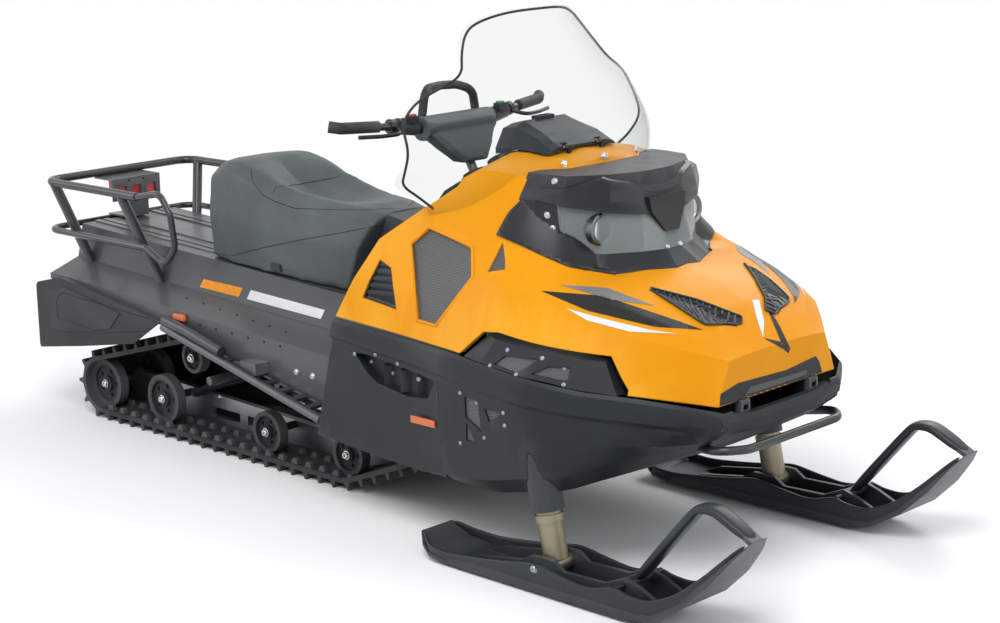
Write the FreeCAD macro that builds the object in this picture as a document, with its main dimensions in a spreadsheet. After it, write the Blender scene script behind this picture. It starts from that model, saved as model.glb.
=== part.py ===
"""Wide-track utility snowmobile, built as an assembly of separate pieces.

The frame has +X towards the ski tips, +Y to the rider's left and +Z up.
The origin is on the snow, under the middle of the outline.
"""
import FreeCAD, Part
import math
import os

import Sketcher
from FreeCAD import Placement, Rotation, Vector

os.makedirs("parts", exist_ok=True)
doc = FreeCAD.newDocument("snowmobile")

# Driving dimensions, in millimetres and degrees
SIZES = {
    # Walls and clearances
    "sheet_wall": 4, "shell_wall": 5, "seat_gap": 0.3, "moving_gap": 6, "slide_gap": 0.5,
    # Tunnel: the folded sheet over the track
    "tunnel_back": -1560, "tunnel_front": 300, "tunnel_slope": 2.73, "deck_half": 200,
    "deck_height": 574, "groove_half": 222, "groove_drop": 112, "side_half": 335,
    "side_drop": 152, "tunnel_depth": 320,
    "side_low_front": 262, "side_low_rear": 356, "side_cut_front": 1500, "side_cut_rear": 670,
    "deck_rib": 22, "deck_rib_high": 4, "deck_rib_long": 655, "deck_pad_half": 60, "deck_pad_start": 120,
    # Track and skid
    "track_width": 600, "belt": 16, "lug": 22, "lug_pitch": 64, "lug_root": 20, "lug_tip": 9,
    "rear_wheel_x": -1345, "second_wheel_x": -1029, "third_wheel_x": -496,
    "fourth_wheel_x": -115, "big_wheel": 165, "small_wheel": 135, "wheel_wide": 34,
    "carrier_x": -860, "carrier_drop": 284, "carrier_wheel": 105,
    "sprocket_x": 270, "sprocket_drop": 299, "sprocket": 170, "axle": 25,
    "wheel_row": 255, "rail_row": 130, "rail_wide": 22, "rail_high": 105, "arm_tube": 30,
    # Running boards
    "board_low_x": -50, "board_high_x": -890, "board_low_z": 258, "board_high_z": 400,
    "board_out_low": 95, "board_out_high": 25, "board_thick": 8, "rail_tube": 25, "step_tube": 34,
    # Fender, rack and hitch
    "fender_out": 25, "rack_tube": 28, "rack_post": 34, "rack_half": 310, "rack_top": 806,
    "rack_mid": 640, "rack_back": -1580, "rack_front": -1060, "rack_bend": 60, "rack_foot": 226,
    "hitch_bore": 17, "hitch_plate": 10, "hitch_x": -1576,
    # Skis and struts
    "ski_stance": 960, "ski_width": 190, "ski_sole": 10, "ski_back": 484, "ski_tip": 1600,
    "ski_tip_z": 277, "ski_flat_back": 560, "ski_flat_front": 1250, "ski_wall": 12, "ski_inner": 44,
    "keel_height": 10, "keel": 12, "pivot_x": 938, "pivot_z": 62, "pivot_pin": 46, "strut_caster": 11.5,
    "strut_rod": 68, "strut_tube": 90, "strut_tube_low": 205, "strut_tube_top": 552,
    "strut_rod_top": 430, "strap": 12,
    # Hood and its hinge
    "hood_hinge_x": 1296, "hood_hinge_z": 498, "hinge_pin": 10, "hinge_row": 150,
    "rim_inset": 14, "lens_wall": 4, "screen_wall": 4,
    # Lid over the storage box
    "lid_hinge_x": 624, "lid_hinge_z": 1097, "lid_pin": 6, "lid_row": 70, "tub_half": 118,
    "tub_back": 438, "tub_front": 600, "tub_floor": 960,
    # Steering
    "column_x": 208, "column_z": 936, "column_lean": 30, "column": 28, "bar_tube": 22, "grip": 34,
    "bar_half": 432, "bar_reach": 195, "bar_rise": 33, "pad_half": 145, "pad": 76,
    # Console, engine and bumper
    "console_half": 90, "engine_half": 190, "bumper_tube": 24,
}

sheet = doc.addObject("Spreadsheet::Sheet", "sizes")
for row, (name, value) in enumerate(SIZES.items(), start=1):
    sheet.set(f"A{row}", name)
    sheet.set(f"B{row}", str(value))
    sheet.setAlias(f"B{row}", name)
doc.recompute()


class SheetValues:
    """Reads a driving dimension from the sheet by its name."""

    def __getattr__(self, name):
        return float(sheet.get(name))


size = SheetValues()
SIDES = {"right": -1, "left": 1}
pieces = []


def keep(piece, label):
    """Names a finished sub-part and puts it on the list of exported pieces."""
    piece.Label = label
    pieces.append(piece)
    return piece


def feature(label, shape):
    """A sub-part whose shape comes from Part's own functions."""
    piece = doc.addObject("Part::Feature", label)
    if shape.ShapeType == "Compound" and len(shape.Solids) == 1:
        shape = shape.Solids[0]
    piece.Shape = shape
    return keep(piece, label)


# Sketched bodies
def origin_plane(body, role):
    return [plane for plane in body.Origin.OriginFeatures if plane.Role == role][0]


def outline_sketch(body, name, role, points):
    """A closed outline whose corners are bound to expressions of the sheet."""
    sketch = body.newObject("Sketcher::SketchObject", name)
    sketch.AttachmentSupport = [(origin_plane(body, role), "")]
    sketch.MapMode = "FlatFace"
    values = [[float(sketch.evalExpression(text)) for text in point] for point in points]
    count = len(points)
    for index in range(count):
        start = Vector(*values[index], 0)
        end = Vector(*values[(index + 1) % count], 0)
        sketch.addGeometry(Part.LineSegment(start, end))
    for index in range(count):
        sketch.addConstraint(Sketcher.Constraint("Coincident", index, 2, (index + 1) % count, 1))
    for index in range(count):
        for axis, kind in enumerate(("DistanceX", "DistanceY")):
            datum = Sketcher.Constraint(kind, -1, 1, index, 1, values[index][axis])
            number = sketch.addConstraint(datum)
            label = f"corner{index}{'xy'[axis]}"
            sketch.renameConstraint(number, label)
            sketch.setExpression(f"Constraints.{label}", points[index][axis])
    return sketch


def padded(label, role, points, length, midplane=True):
    """A body made by padding one outline."""
    body = doc.addObject("PartDesign::Body", label)
    pad = body.newObject("PartDesign::Pad", label + "_pad")
    pad.Profile = outline_sketch(body, label + "_outline", role, points)
    pad.setExpression("Length", length)
    pad.Midplane = midplane
    body.Tip = pad
    return body


# Part geometry
def polygon(points):
    return Part.makePolygon([Vector(*p) for p in points] + [Vector(*points[0])])


def prism(points, direction):
    """A flat outline extruded along a direction."""
    return Part.Face(polygon(points)).extrude(Vector(*direction))


def side_prism(outline, y_from, y_to):
    """An outline in the X-Z plane, extruded across the vehicle."""
    return prism([(x, y_from, z) for x, z in outline], (0, y_to - y_from, 0))


def front_prism(outline, x_from, x_to):
    """An outline in the Y-Z plane, extruded along the vehicle."""
    return prism([(x_from, y, z) for y, z in outline], (x_to - x_from, 0, 0))


def plan_prism(outline, z_from, z_to):
    """An outline in the X-Y plane, extruded upwards."""
    return prism([(x, y, z_from) for x, y in outline], (0, 0, z_to - z_from))


def box(x0, x1, y0, y1, z0, z1):
    return Part.makeBox(x1 - x0, y1 - y0, z1 - z0, Vector(x0, y0, z0))


def rod(start, end, diameter):
    start = Vector(*start)
    along = Vector(*end) - start
    return Part.makeCylinder(diameter / 2, along.Length, start, along)


def ring(start, end, outer, inner):
    return rod(start, end, outer).cut(rod(start, end, inner))


def fuse(shapes):
    return shapes[0].multiFuse(shapes[1:]).removeSplitter() if len(shapes) > 1 else shapes[0]


def largest(shape):
    return max(shape.Solids, key=lambda solid: solid.Volume)


def grown(outline, amount):
    """A convex outline with every edge moved outwards by an amount."""
    count = len(outline)
    area = sum(outline[i - 1][0] * outline[i][1] - outline[i][0] * outline[i - 1][1] for i in range(count))
    turn = 1 if area > 0 else -1
    moved = []
    for index in range(count):
        before, here, after = outline[index - 1], outline[index], outline[(index + 1) % count]
        normals = []
        for start, end in ((before, here), (here, after)):
            du, dv = end[0] - start[0], end[1] - start[1]
            length = math.hypot(du, dv)
            normals.append((turn * dv / length, -turn * du / length))
        nu, nv = normals[0][0] + normals[1][0], normals[0][1] + normals[1][1]
        scale = 2 * amount / (nu * nu + nv * nv)
        moved.append((here[0] + nu * scale, here[1] + nv * scale))
    return moved


def bent_path(points, radius, closed=False):
    """Straight runs joined by tangent arcs of one radius, or less where a run is short."""
    corners = [Vector(*p) for p in points]
    count = len(corners)
    inner = range(count) if closed else range(1, count - 1)
    arcs = {}
    for index in inner:
        here = corners[index]
        back = corners[index - 1] - here
        ahead = corners[(index + 1) % count] - here
        half = back.getAngle(ahead) / 2
        room = 0.45 * min(back.Length, ahead.Length)
        trim = min(radius / math.tan(half), room)
        bend = trim * math.tan(half)
        back.normalize()
        ahead.normalize()
        first = here + back * trim
        last = here + ahead * trim
        bisector = back + ahead
        bisector.normalize()
        middle = here + bisector * (bend / math.sin(half) - bend)
        arcs[index] = (first, middle, last)
    edges = []
    start = arcs[0][2] if closed else corners[0]
    order = list(range(1, count)) + ([0] if closed else [])
    for index in order:
        if index in arcs:
            first, middle, last = arcs[index]
            edges.append(Part.LineSegment(start, first).toShape())
            edges.append(Part.Arc(first, middle, last).toShape())
            start = last
        else:
            edges.append(Part.LineSegment(start, corners[index]).toShape())
    return Part.Wire(edges)


def tube(points, diameter, radius, closed=False):
    """A round bar along straight runs and arcs."""
    path = bent_path(points, radius, closed)
    edge = path.Edges[0]
    start = edge.valueAt(edge.FirstParameter)
    along = edge.tangentAt(edge.FirstParameter)
    circle = Part.Wire(Part.makeCircle(diameter / 2, start, along))
    return path.makePipeShell([circle], True, False)


def flat_strap(points, y, wide, thick, radius):
    """A flat strip that bends in a plane along the vehicle."""
    path = bent_path([(x, y, z) for x, z in points], radius)
    edge = path.Edges[0]
    start = edge.valueAt(edge.FirstParameter)
    along = edge.tangentAt(edge.FirstParameter)
    across = Vector(0, wide / 2, 0)
    up = Vector(-along.z, 0, along.x) * (thick / 2)
    corners = [start + across + up, start - across + up, start - across - up, start + across - up]
    profile = Part.makePolygon(corners + [corners[0]])
    return path.makePipeShell([profile], True, False)


def mirrored(shape):
    return shape.mirror(Vector(0, 0, 0), Vector(0, 1, 0))


def both_apart(shape):
    """Two mirrored solids in one piece that don't touch."""
    return Part.makeCompound([shape, mirrored(shape)])


def on_side(shape, side):
    return shape if side > 0 else mirrored(shape)


def symmetric(half):
    """A closed outline from a half outline (along, across) that runs from back to front."""
    return list(half) + [(along, -across) for along, across in reversed(half)]


# Rim: the thick flange that runs round the lower body under the hood
# Each row holds x, then the widest y, and the heights of its top, its widest line and its foot.
RIM = [
    (-80, 458, 594, 560, 530), (86, 470, 592, 556, 528), (355, 492, 588, 547, 515),
    (520, 514, 586, 543, 507), (611, 524, 584, 540, 501), (700, 534, 578, 534, 492),
    (870, 545, 567, 524, 486), (950, 530, 560, 520, 482), (1030, 500, 549, 515, 475),
    (1160, 416, 534, 500, 461), (1270, 335, 513, 486, 448), (1315, 262, 488, 468, 444),
]


def rim(x):
    """The rim's widest y and its three heights at a distance along the body."""
    rows = [row for row in RIM if row[0] >= x]
    after = rows[0]
    before = RIM[max(RIM.index(after) - 1, 0)]
    share = (x - before[0]) / (after[0] - before[0]) if after != before else 0
    return [a + (b - a) * share for a, b in zip(before[1:], after[1:])]


def rim_profile(x):
    """The rim's outer profile from its top inner edge to its foot."""
    widest, top, middle, foot = rim(x)
    return [(widest - size.rim_inset, top), (widest - 4, top - 9), (widest, middle),
            (widest - 3, foot + 12), (widest - 13, foot)]


# Lofted shells
def closed_section(x, half):
    """A symmetric section at x from points (y, z) that run from the edge to the centre."""
    left = [(x, y, z) for y, z in half]
    right = [(x, -y, z) for y, z in reversed(half[:-1])]
    return polygon(left + right)


def inset(half, wall):
    """The same half outline, moved inwards by the wall's thickness."""
    mirror_point = (-half[-2][0], half[-2][1])
    chain = [(half[0][0], half[0][1] - 50)] + list(half) + [mirror_point]
    moved = []
    for index in range(1, len(chain) - 1):
        before, here, after = chain[index - 1], chain[index], chain[index + 1]
        normals = []
        for a, b in ((before, here), (here, after)):
            dy, dz = b[0] - a[0], b[1] - a[1]
            length = math.hypot(dy, dz)
            normals.append((-dz / length, dy / length))
        ny = normals[0][0] + normals[1][0]
        nz = normals[0][1] + normals[1][1]
        scale = wall * 2 / (ny * ny + nz * nz)
        moved.append((here[0] + ny * scale, here[1] + nz * scale))
    return moved


def smooth(rows, step=60):
    """More sections between the given ones, on smooth curves through their points."""
    fine = []
    for index in range(len(rows) - 1):
        (x1, first), (x2, second) = rows[index], rows[index + 1]
        x0, before = rows[index - 1] if index else (2 * x1 - x2, None)
        x3, after = rows[index + 2] if index + 2 < len(rows) else (2 * x2 - x1, None)
        span = x2 - x1
        count = max(1, round(span / step))
        for part in range(count):
            t = part / count
            half = []
            for corner in range(len(first)):
                point = []
                for axis in (0, 1):
                    p1, p2 = first[corner][axis], second[corner][axis]
                    p0 = before[corner][axis] if before else 2 * p1 - p2
                    p3 = after[corner][axis] if after else 2 * p2 - p1
                    start_slope = (p2 - p0) / (x2 - x0) * span
                    end_slope = (p3 - p1) / (x3 - x1) * span
                    point.append((2 * t ** 3 - 3 * t ** 2 + 1) * p1 + (t ** 3 - 2 * t ** 2 + t) * start_slope
                                 + (3 * t ** 2 - 2 * t ** 3) * p2 + (t ** 3 - t ** 2) * end_slope)
                half.append(tuple(point))
            fine.append((x1 + span * t, half))
    return fine + [rows[-1]]


def body_loft(stations):
    """A solid through symmetric sections along the vehicle."""
    return Part.makeLoft([closed_section(x, half) for x, half in stations], True, True)


# Hood sections above the rim: side crease, shoulder line, upper shoulder, crown and centre
HOOD_CREASES = [
    (-80, [(440, 722), (372, 905), (335, 950), (150, 985), (0, 995)]),
    (150, [(441, 718), (372, 925), (334, 965), (150, 1015), (0, 1026)]),
    (350, [(440, 716), (365, 933), (330, 975), (150, 1042), (0, 1052)]),
    (500, [(440, 742), (362, 905), (302, 1046), (150, 1080), (0, 1090)]),
    (600, [(441, 762), (360, 885), (285, 1045), (140, 1076), (0, 1086)]),
    (690, [(442, 778), (353, 862), (264, 1020), (140, 1056), (0, 1066)]),
    (760, [(440, 774), (347, 838), (250, 950), (130, 985), (0, 995)]),
    (860, [(432, 756), (350, 796), (270, 806), (140, 817), (0, 822)]),
    (950, [(420, 726), (345, 765), (250, 786), (130, 801), (0, 807)]),
    (1040, [(397, 702), (330, 742), (215, 764), (112, 782), (0, 790)]),
    (1180, [(330, 666), (270, 692), (180, 706), (90, 717), (0, 722)]),
]
HOOD_FRONT = (1297, [(256, 506), (207, 618), (150, 622), (100, 624), (50, 625), (0, 622)])


def hood_stations():
    stations = []
    for x, creases in HOOD_CREASES:
        widest, top, middle, foot = rim(x)
        stations.append((x, [(widest - size.rim_inset - 2, top + size.moving_gap)] + creases))
    return stations + [HOOD_FRONT]


HOOD_ROWS = smooth(hood_stations())


def hood_inner():
    wall = size.shell_wall
    stations = HOOD_ROWS
    shrunk_stations = []
    for index, (x, half) in enumerate(stations):
        shrunk = inset(half, wall)
        shrunk[0] = (shrunk[0][0], shrunk[0][1] - 60)
        place = x - wall if index == len(stations) - 1 else x
        shrunk_stations.append((place, shrunk))
    return body_loft(shrunk_stations)


HOOD_REAR_EDGE = [(52, 560), (60, 600), (200, 835), (355, 940), (440, 1000), (500, 1120)]
hood_outside = body_loft(HOOD_ROWS)
hood_rear_cut = side_prism([(-100, 540)] + HOOD_REAR_EDGE + [(-100, 1120)], -600, 600)
hood_solid = hood_outside.cut(hood_rear_cut)
hood_shell = hood_outside.cut(hood_inner()).cut(hood_rear_cut)

# The hull under the rim, from its top edge to the keel
HULL = [
    (520, [(498, 495), (494, 330), (478, 225), (440, 197), (0, 192)]),
    (611, [(507, 490), (502, 335), (492, 235), (448, 199), (0, 195)]),
    (700, [(516, 482), (511, 345), (503, 248), (455, 204), (0, 199)]),
    (870, [(529, 474), (528, 390), (525, 292), (498, 250), (0, 236)]),
    (950, [(513, 470), (508, 390), (500, 305), (468, 262), (0, 252)]),
    (1030, [(483, 462), (470, 400), (450, 335), (425, 292), (0, 272)]),
    (1160, [(399, 450), (386, 405), (345, 372), (292, 346), (0, 328)]),
    (1270, [(318, 436), (296, 412), (240, 400), (160, 392), (0, 387)]),
    (1315, [(246, 436), (215, 429), (160, 426), (100, 424), (0, 423)]),
]


def hull_section(x, hull):
    return rim_profile(x) + hull


HULL_ROWS = smooth(HULL, 50)
hull_outside = body_loft([(x, hull_section(x, hull)) for x, hull in HULL_ROWS])


def hull_inner():
    """The hollow of the hull, open at its top."""
    wall = size.shell_wall
    stations = []
    for index, (x, hull) in enumerate(HULL_ROWS):
        widest, top, middle, foot = rim(x)
        side, knuckle, bilge, floor, keel = hull
        half = [(widest - size.rim_inset - 1, top + 60), (widest - size.rim_inset - 3, foot + 6),
                (side[0] - wall, side[1]), (knuckle[0] - wall, knuckle[1]), (bilge[0] - wall, bilge[1] + 2),
                (floor[0] - 3, floor[1] + wall), (0, keel[1] + wall)]
        place = x - 1 if index == 0 else x
        place = x - wall if index == len(HULL_ROWS) - 1 else place
        stations.append((place, half))
    return body_loft(stations)


# Struts: each leans back by the caster about its own ski pivot
def strut_point(side, height):
    """A point at a height on the strut's axis."""
    lean = math.radians(size.strut_caster)
    along = (height - size.pivot_z) / math.cos(lean)
    return (size.pivot_x - along * math.sin(lean), side * size.ski_stance / 2, height)


def make_tunnel():
    top = "sizes.deck_height"
    outer = [("sizes.deck_half", top),
             ("sizes.groove_half", f"{top}-sizes.groove_drop"),
             ("sizes.side_half", f"{top}-sizes.side_drop"),
             ("sizes.side_half", f"{top}-sizes.tunnel_depth")]
    inner = [("sizes.side_half-sizes.sheet_wall", f"{top}-sizes.tunnel_depth"),
             ("sizes.side_half-sizes.sheet_wall", f"{top}-sizes.side_drop-sizes.sheet_wall"),
             ("sizes.groove_half-sizes.sheet_wall", f"{top}-sizes.groove_drop-sizes.sheet_wall"),
             ("sizes.deck_half-sizes.sheet_wall", f"{top}-sizes.sheet_wall")]
    left = outer + inner
    right = [(f"-({y})", z) for y, z in reversed(left)]
    body = padded("tunnel", "YZ_Plane", left + right,
                  "sizes.tunnel_front-sizes.tunnel_back", midplane=False)
    rib_low, rib_high = f"{top}-sizes.sheet_wall/2", f"{top}+sizes.deck_rib_high"
    ribs = {"pad": ("-sizes.deck_pad_half", "sizes.deck_pad_half")}
    for number in (1, 2):
        for side in SIDES:
            near = f"sizes.deck_pad_half+{number}*1.5*sizes.deck_rib"
            far = f"{near}+sizes.deck_rib"
            ribs[f"{side}{number}"] = (near, far) if side == "left" else (f"-({far})", f"-({near})")
    for name, (near, far) in ribs.items():
        rib = body.newObject("PartDesign::Pad", f"deck_rib_{name}")
        outline = outline_sketch(body, f"deck_rib_{name}_outline", "YZ_Plane",
                                 [(near, rib_low), (far, rib_low), (far, rib_high), (near, rib_high)])
        start = "sizes.deck_pad_start" if name == "pad" else "0"
        outline.setExpression("AttachmentOffset.Base.z", start)
        rib.Profile = outline
        rib.setExpression("Length", f"sizes.deck_rib_long-{start}")
        body.Tip = rib
    notch = body.newObject("PartDesign::Pocket", "tunnel_side_notch")
    notch.Profile = outline_sketch(body, "tunnel_notch_outline", "XZ_Plane", [
        ("-10", "sizes.side_low_rear"), ("sizes.side_cut_rear", "sizes.side_low_rear"),
        ("sizes.side_cut_front", "sizes.side_low_front"), ("sizes.side_cut_front", "100"), ("-10", "100")])
    notch.Type = "ThroughAll"
    notch.Midplane = True
    body.Tip = notch
    lean = Rotation(Vector(0, 1, 0), size.tunnel_slope)
    body.Placement = Placement(lean.multVec(Vector(size.tunnel_back, 0, 0)), lean)
    return keep(body, "tunnel")


def deck_z(x, drop=0.0):
    """The height of the tunnel's deck at a distance along it."""
    slope = math.radians(size.tunnel_slope)
    return (size.deck_height - drop) / math.cos(slope) - x * math.tan(slope)


def carrier_z():
    return size.deck_height - size.carrier_drop


def sprocket_z():
    return size.deck_height - size.sprocket_drop


def make_track():
    """The belt loop round its wheels, with every lug in its outline."""
    wheels = [
        (size.rear_wheel_x, size.big_wheel / 2 + size.lug + size.belt, size.big_wheel / 2),
        (size.carrier_x, carrier_z(), size.carrier_wheel / 2),
        (size.sprocket_x, sprocket_z(), size.sprocket / 2),
        (size.fourth_wheel_x, size.small_wheel / 2 + size.lug + size.belt, size.small_wheel / 2),
    ]

    def loop(grow):
        """Tangent lines and arcs round the wheels, at a distance outside their rims."""
        edges = []
        tangents = []
        count = len(wheels)
        for index in range(count):
            ax, az, ar = wheels[index]
            bx, bz, br = wheels[(index + 1) % count]
            ar, br = ar + grow, br + grow
            heading = math.atan2(bz - az, bx - ax)
            reach = math.hypot(bx - ax, bz - az)
            tilt = heading + math.asin((ar - br) / reach) * -1 + math.pi / 2
            first = Vector(ax + ar * math.cos(tilt), 0, az + ar * math.sin(tilt))
            last = Vector(bx + br * math.cos(tilt), 0, bz + br * math.sin(tilt))
            tangents.append((first, last, tilt))
        for index in range(count):
            first, last, tilt = tangents[index]
            edges.append(Part.LineSegment(first, last).toShape())
            x, z, radius = wheels[(index + 1) % count]
            after = tangents[(index + 1) % count]
            turn = (tilt - after[2]) % (2 * math.pi)
            middle_angle = tilt - turn / 2
            middle = Vector(x + (radius + grow) * math.cos(middle_angle), 0,
                            z + (radius + grow) * math.sin(middle_angle))
            edges.append(Part.Arc(last, middle, after[0]).toShape())
        return Part.Wire(edges)

    outer = loop(size.belt)
    inner = loop(0)
    steps = int(round(outer.Length / size.lug_pitch))
    spots = outer.discretize(Number=steps * 4 + 1)[:-1]
    middle = Vector(size.carrier_x / 2, 0, carrier_z() / 2)
    corners = []
    for index in range(0, steps * 4, 4):
        here = spots[index]
        along = spots[(index + 1) % len(spots)] - spots[index - 1]
        along.normalize()
        out = Vector(-along.z, 0, along.x)
        if (here - middle).dot(out) < 0:
            out = out * -1
        corners += [here - along * size.lug_root / 2, here - along * size.lug_tip / 2 + out * size.lug,
                    here + along * size.lug_tip / 2 + out * size.lug, here + along * size.lug_root / 2]
    toothed = Part.Face(Part.makePolygon(corners + [corners[0]]))
    face = toothed.cut(Part.Face(inner)).Faces[0]
    face.translate(Vector(0, -size.track_width / 2, 0))
    return feature("track", face.extrude(Vector(0, size.track_width, 0)))


def wheel(x, z, diameter, rows, wide):
    """Like wheels side by side: a tyre on a dished disc with lightening holes and an open hub."""
    shapes = []
    for y in rows:
        tyre = ring((x, y - wide / 2, z), (x, y + wide / 2, z), diameter, diameter * 0.76)
        disc = ring((x, y - wide / 6, z), (x, y + wide / 6, z), diameter * 0.77, size.axle)
        hub = ring((x, y - wide / 2, z), (x, y + wide / 2, z), diameter * 0.32, size.axle)
        web = fuse([tyre, disc, hub])
        for step in range(5):
            turn = math.radians(72 * step)
            spot_x = x + diameter * 0.27 * math.cos(turn)
            spot_z = z + diameter * 0.27 * math.sin(turn)
            web = web.cut(rod((spot_x, y - wide, spot_z), (spot_x, y + wide, spot_z), diameter * 0.11))
        shapes.append(web)
    return shapes


def axle_rod(x, z):
    reach = size.wheel_row + size.wheel_wide / 2 + 3
    return rod((x, -reach, z), (x, reach, z), size.axle)


def make_skid():
    row = size.wheel_row
    clear = 0.4
    floor = size.lug + size.belt
    big = size.big_wheel - 2 * clear
    small = size.small_wheel - 2 * clear
    big_z = floor + size.big_wheel / 2
    small_z = floor + size.small_wheel / 2
    rear = wheel(size.rear_wheel_x, big_z, big, (-row, -60, 60, row), size.wheel_wide)
    rear.append(axle_rod(size.rear_wheel_x, big_z))
    feature("rear_wheels", fuse(rear))
    lower = []
    for x, z, wide in ((size.second_wheel_x, big_z, big), (size.third_wheel_x, small_z, small),
                       (size.fourth_wheel_x, small_z, small)):
        lower += wheel(x, z, wide, (-row, row), size.wheel_wide)
        lower.append(axle_rod(x, z))
    feature("bogie_wheels", fuse(lower))
    carrier = wheel(size.carrier_x, carrier_z(), size.carrier_wheel - 2 * clear, (-row, row),
                    size.wheel_wide)
    carrier.append(axle_rod(size.carrier_x, carrier_z()))
    feature("carrier_wheels", fuse(carrier))
    low = floor + size.seat_gap
    outline = [(size.rear_wheel_x - 40, size.rail_high - 12), (size.rear_wheel_x, low + 8),
               (size.rear_wheel_x + 60, low), (size.fourth_wheel_x - 20, low),
               (size.fourth_wheel_x + 70, low + 30),
               (size.fourth_wheel_x + 60, size.rail_high), (size.rear_wheel_x, size.rail_high + 45)]
    rails = side_prism(outline, size.rail_row, size.rail_row + size.rail_wide)
    wheels = ((size.rear_wheel_x, big_z), (size.second_wheel_x, big_z),
              (size.third_wheel_x, small_z), (size.fourth_wheel_x, small_z))
    for x, z in wheels:
        rails = rails.cut(rod((x, 0, z), (x, 2 * row, z), size.axle))
    slot_back = size.second_wheel_x + size.big_wheel / 2 + 20
    slot_front = size.third_wheel_x - size.small_wheel / 2 - 20
    middle = (slot_back + slot_front) / 2
    for start, end in ((slot_back, middle - 20), (middle + 20, slot_front)):
        window = box(start, end, 0, 2 * row, low + 18, size.rail_high - 16)
        rails = rails.cut(window)
    arms = []
    side_y = size.rail_row + size.rail_wide + 16
    front_arm = (-300, 118, 20, sprocket_z() - 40)
    rear_arm = (-980, 130, -700, carrier_z() - 40)
    for foot_x, foot_z, head_x, head_z in (front_arm, rear_arm):
        for side in (-1, 1):
            y = side * side_y
            arms.append(rod((foot_x, y, foot_z), (head_x, y, head_z), size.arm_tube))
        arms.append(rod((foot_x, -side_y - 14, foot_z), (foot_x, side_y + 14, foot_z), size.arm_tube - 2))
        reach = size.side_half - size.sheet_wall - size.seat_gap
        arms.append(rod((head_x, -reach, head_z), (head_x, reach, head_z), size.arm_tube - 2))
    arms.append(rod((-300, 0, 118), (-560, 0, carrier_z() - 60), 44))
    arms.append(rod((-560, -side_y, carrier_z() - 60), (-560, side_y, carrier_z() - 60), size.arm_tube - 2))
    arms = fuse(arms)
    feature("slide_rails", both_apart(rails.cut(arms)))
    feature("suspension_arms", arms)
    x, z = size.sprocket_x, sprocket_z()
    reach = size.side_half - size.sheet_wall - size.seat_gap
    drive = [rod((x, -reach, z), (x, reach, z), 38)]
    for y in (-150, 150):
        drive.append(rod((x, y - 22, z), (x, y + 22, z), size.sprocket - 2 * clear))
    feature("drive_axle", fuse(drive))


def make_running_boards():
    """A stepped grid beside the tunnel, with a round outer rail."""
    back, front = size.board_high_x, size.board_low_x
    for name, side in SIDES.items():
        inner = size.side_half + size.seat_gap
        out_low = size.side_half + size.board_out_low
        out_high = size.side_half + size.board_out_high
        low = (front, out_low, size.board_low_z)
        high = (back, out_high, size.board_high_z)
        board = prism([(front, inner, size.board_low_z), low, high, (back, inner, size.board_high_z)],
                      (0, 0, size.board_thick))
        slots = []
        count = 11
        for step in range(count):
            share = (step + 1.2) / (count + 1.0)
            x = back + (front - back) * share
            wide = (out_high + (out_low - out_high) * share - inner) - 34
            z = size.board_high_z + (size.board_low_z - size.board_high_z) * share
            if wide > 12:
                slots.append(box(x - 24, x + 24, inner + 12, inner + 12 + wide, z - 30, z + 30))
        board = board.cut(Part.makeCompound(slots))
        rail = rod((low[0], low[1], low[2] + 4), (high[0], high[1], high[2] + 4), size.rail_tube)
        step_z = size.board_high_z + 12
        step = tube([(back + 4, out_high - 6, step_z + 14), (back + 120, out_high + 2, step_z),
                     (back + 315, out_high + 14, step_z - 38)], size.step_tube, 90)
        block = box(-470, -395, inner, inner + 52, 330, 366)
        whole = fuse([board, rail, step, block]).cut(tunnel.Shape)
        feature(f"running_board_{name}", on_side(largest(whole), side))


def make_rear():
    """Side skirts and the snow flap behind the track."""
    half = size.side_half + size.fender_out
    wall = size.shell_wall
    deck = deck_z(-1450) - deck_z(-1450, size.side_drop)
    top_rear = deck_z(-1450) - deck
    skirt = [(-1600, 445), (-1590, 460), (-1450, top_rear), (-903, 419), (-1057, 322), (-1350, 268),
             (-1590, 228), (-1600, 236)]
    shapes = []
    for direction in (-1, 1):
        y = direction * half
        shapes.append(side_prism(skirt, y, y - direction * wall))
        shapes.append(side_prism([(-1530, 436), (-1430, 462), (-1120, 416), (-1180, 356), (-1350, 318),
                                  (-1520, 300)], y, y + direction * 3))
        lip = direction * (size.side_half + size.seat_gap)
        near, far = sorted((y, lip))
        ledge = [(-1450, top_rear), (-903, 419), (-903, 414), (-1450, top_rear - wall)]
        shapes.append(side_prism(ledge, near, far))
    shapes.append(side_prism([(-1600, 445), (-1594, 445), (-1591, 228), (-1597, 228)], -half, half))
    shapes.append(side_prism([(-1600, 440), (-1590, 455), (-1450, top_rear - wall), (-1450, top_rear),
                              (-1590, 460), (-1600, 445)], -half, half))
    fender = fuse(shapes).cut(tunnel.Shape)
    fender = fender.cut(box(-1590, -1440, -60, 60, 400, 520))
    feature("rear_fender", largest(fender))
    reflectors = []
    for side in SIDES.values():
        near, far = sorted((side * (size.side_half + size.seat_gap), side * (size.side_half + 6)))
        reflectors.append(box(-841, -801, near, far, 438, 454))
    return reflectors


def make_hitch():
    """A cross bar under the deck with a tongue and a vertical pin bore."""
    reach = size.side_half - size.sheet_wall - size.seat_gap
    z = 472
    bar = box(-1552, -1540, -reach, reach, z, z + 20)
    tongue = box(-1598, -1540, -32, 32, z + 12, z + 12 + size.hitch_plate)
    bore = rod((size.hitch_x, 0, z - 40), (size.hitch_x, 0, z + 80), size.hitch_bore)
    feature("tow_hitch", fuse([bar, tongue]).cut(bore))


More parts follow.
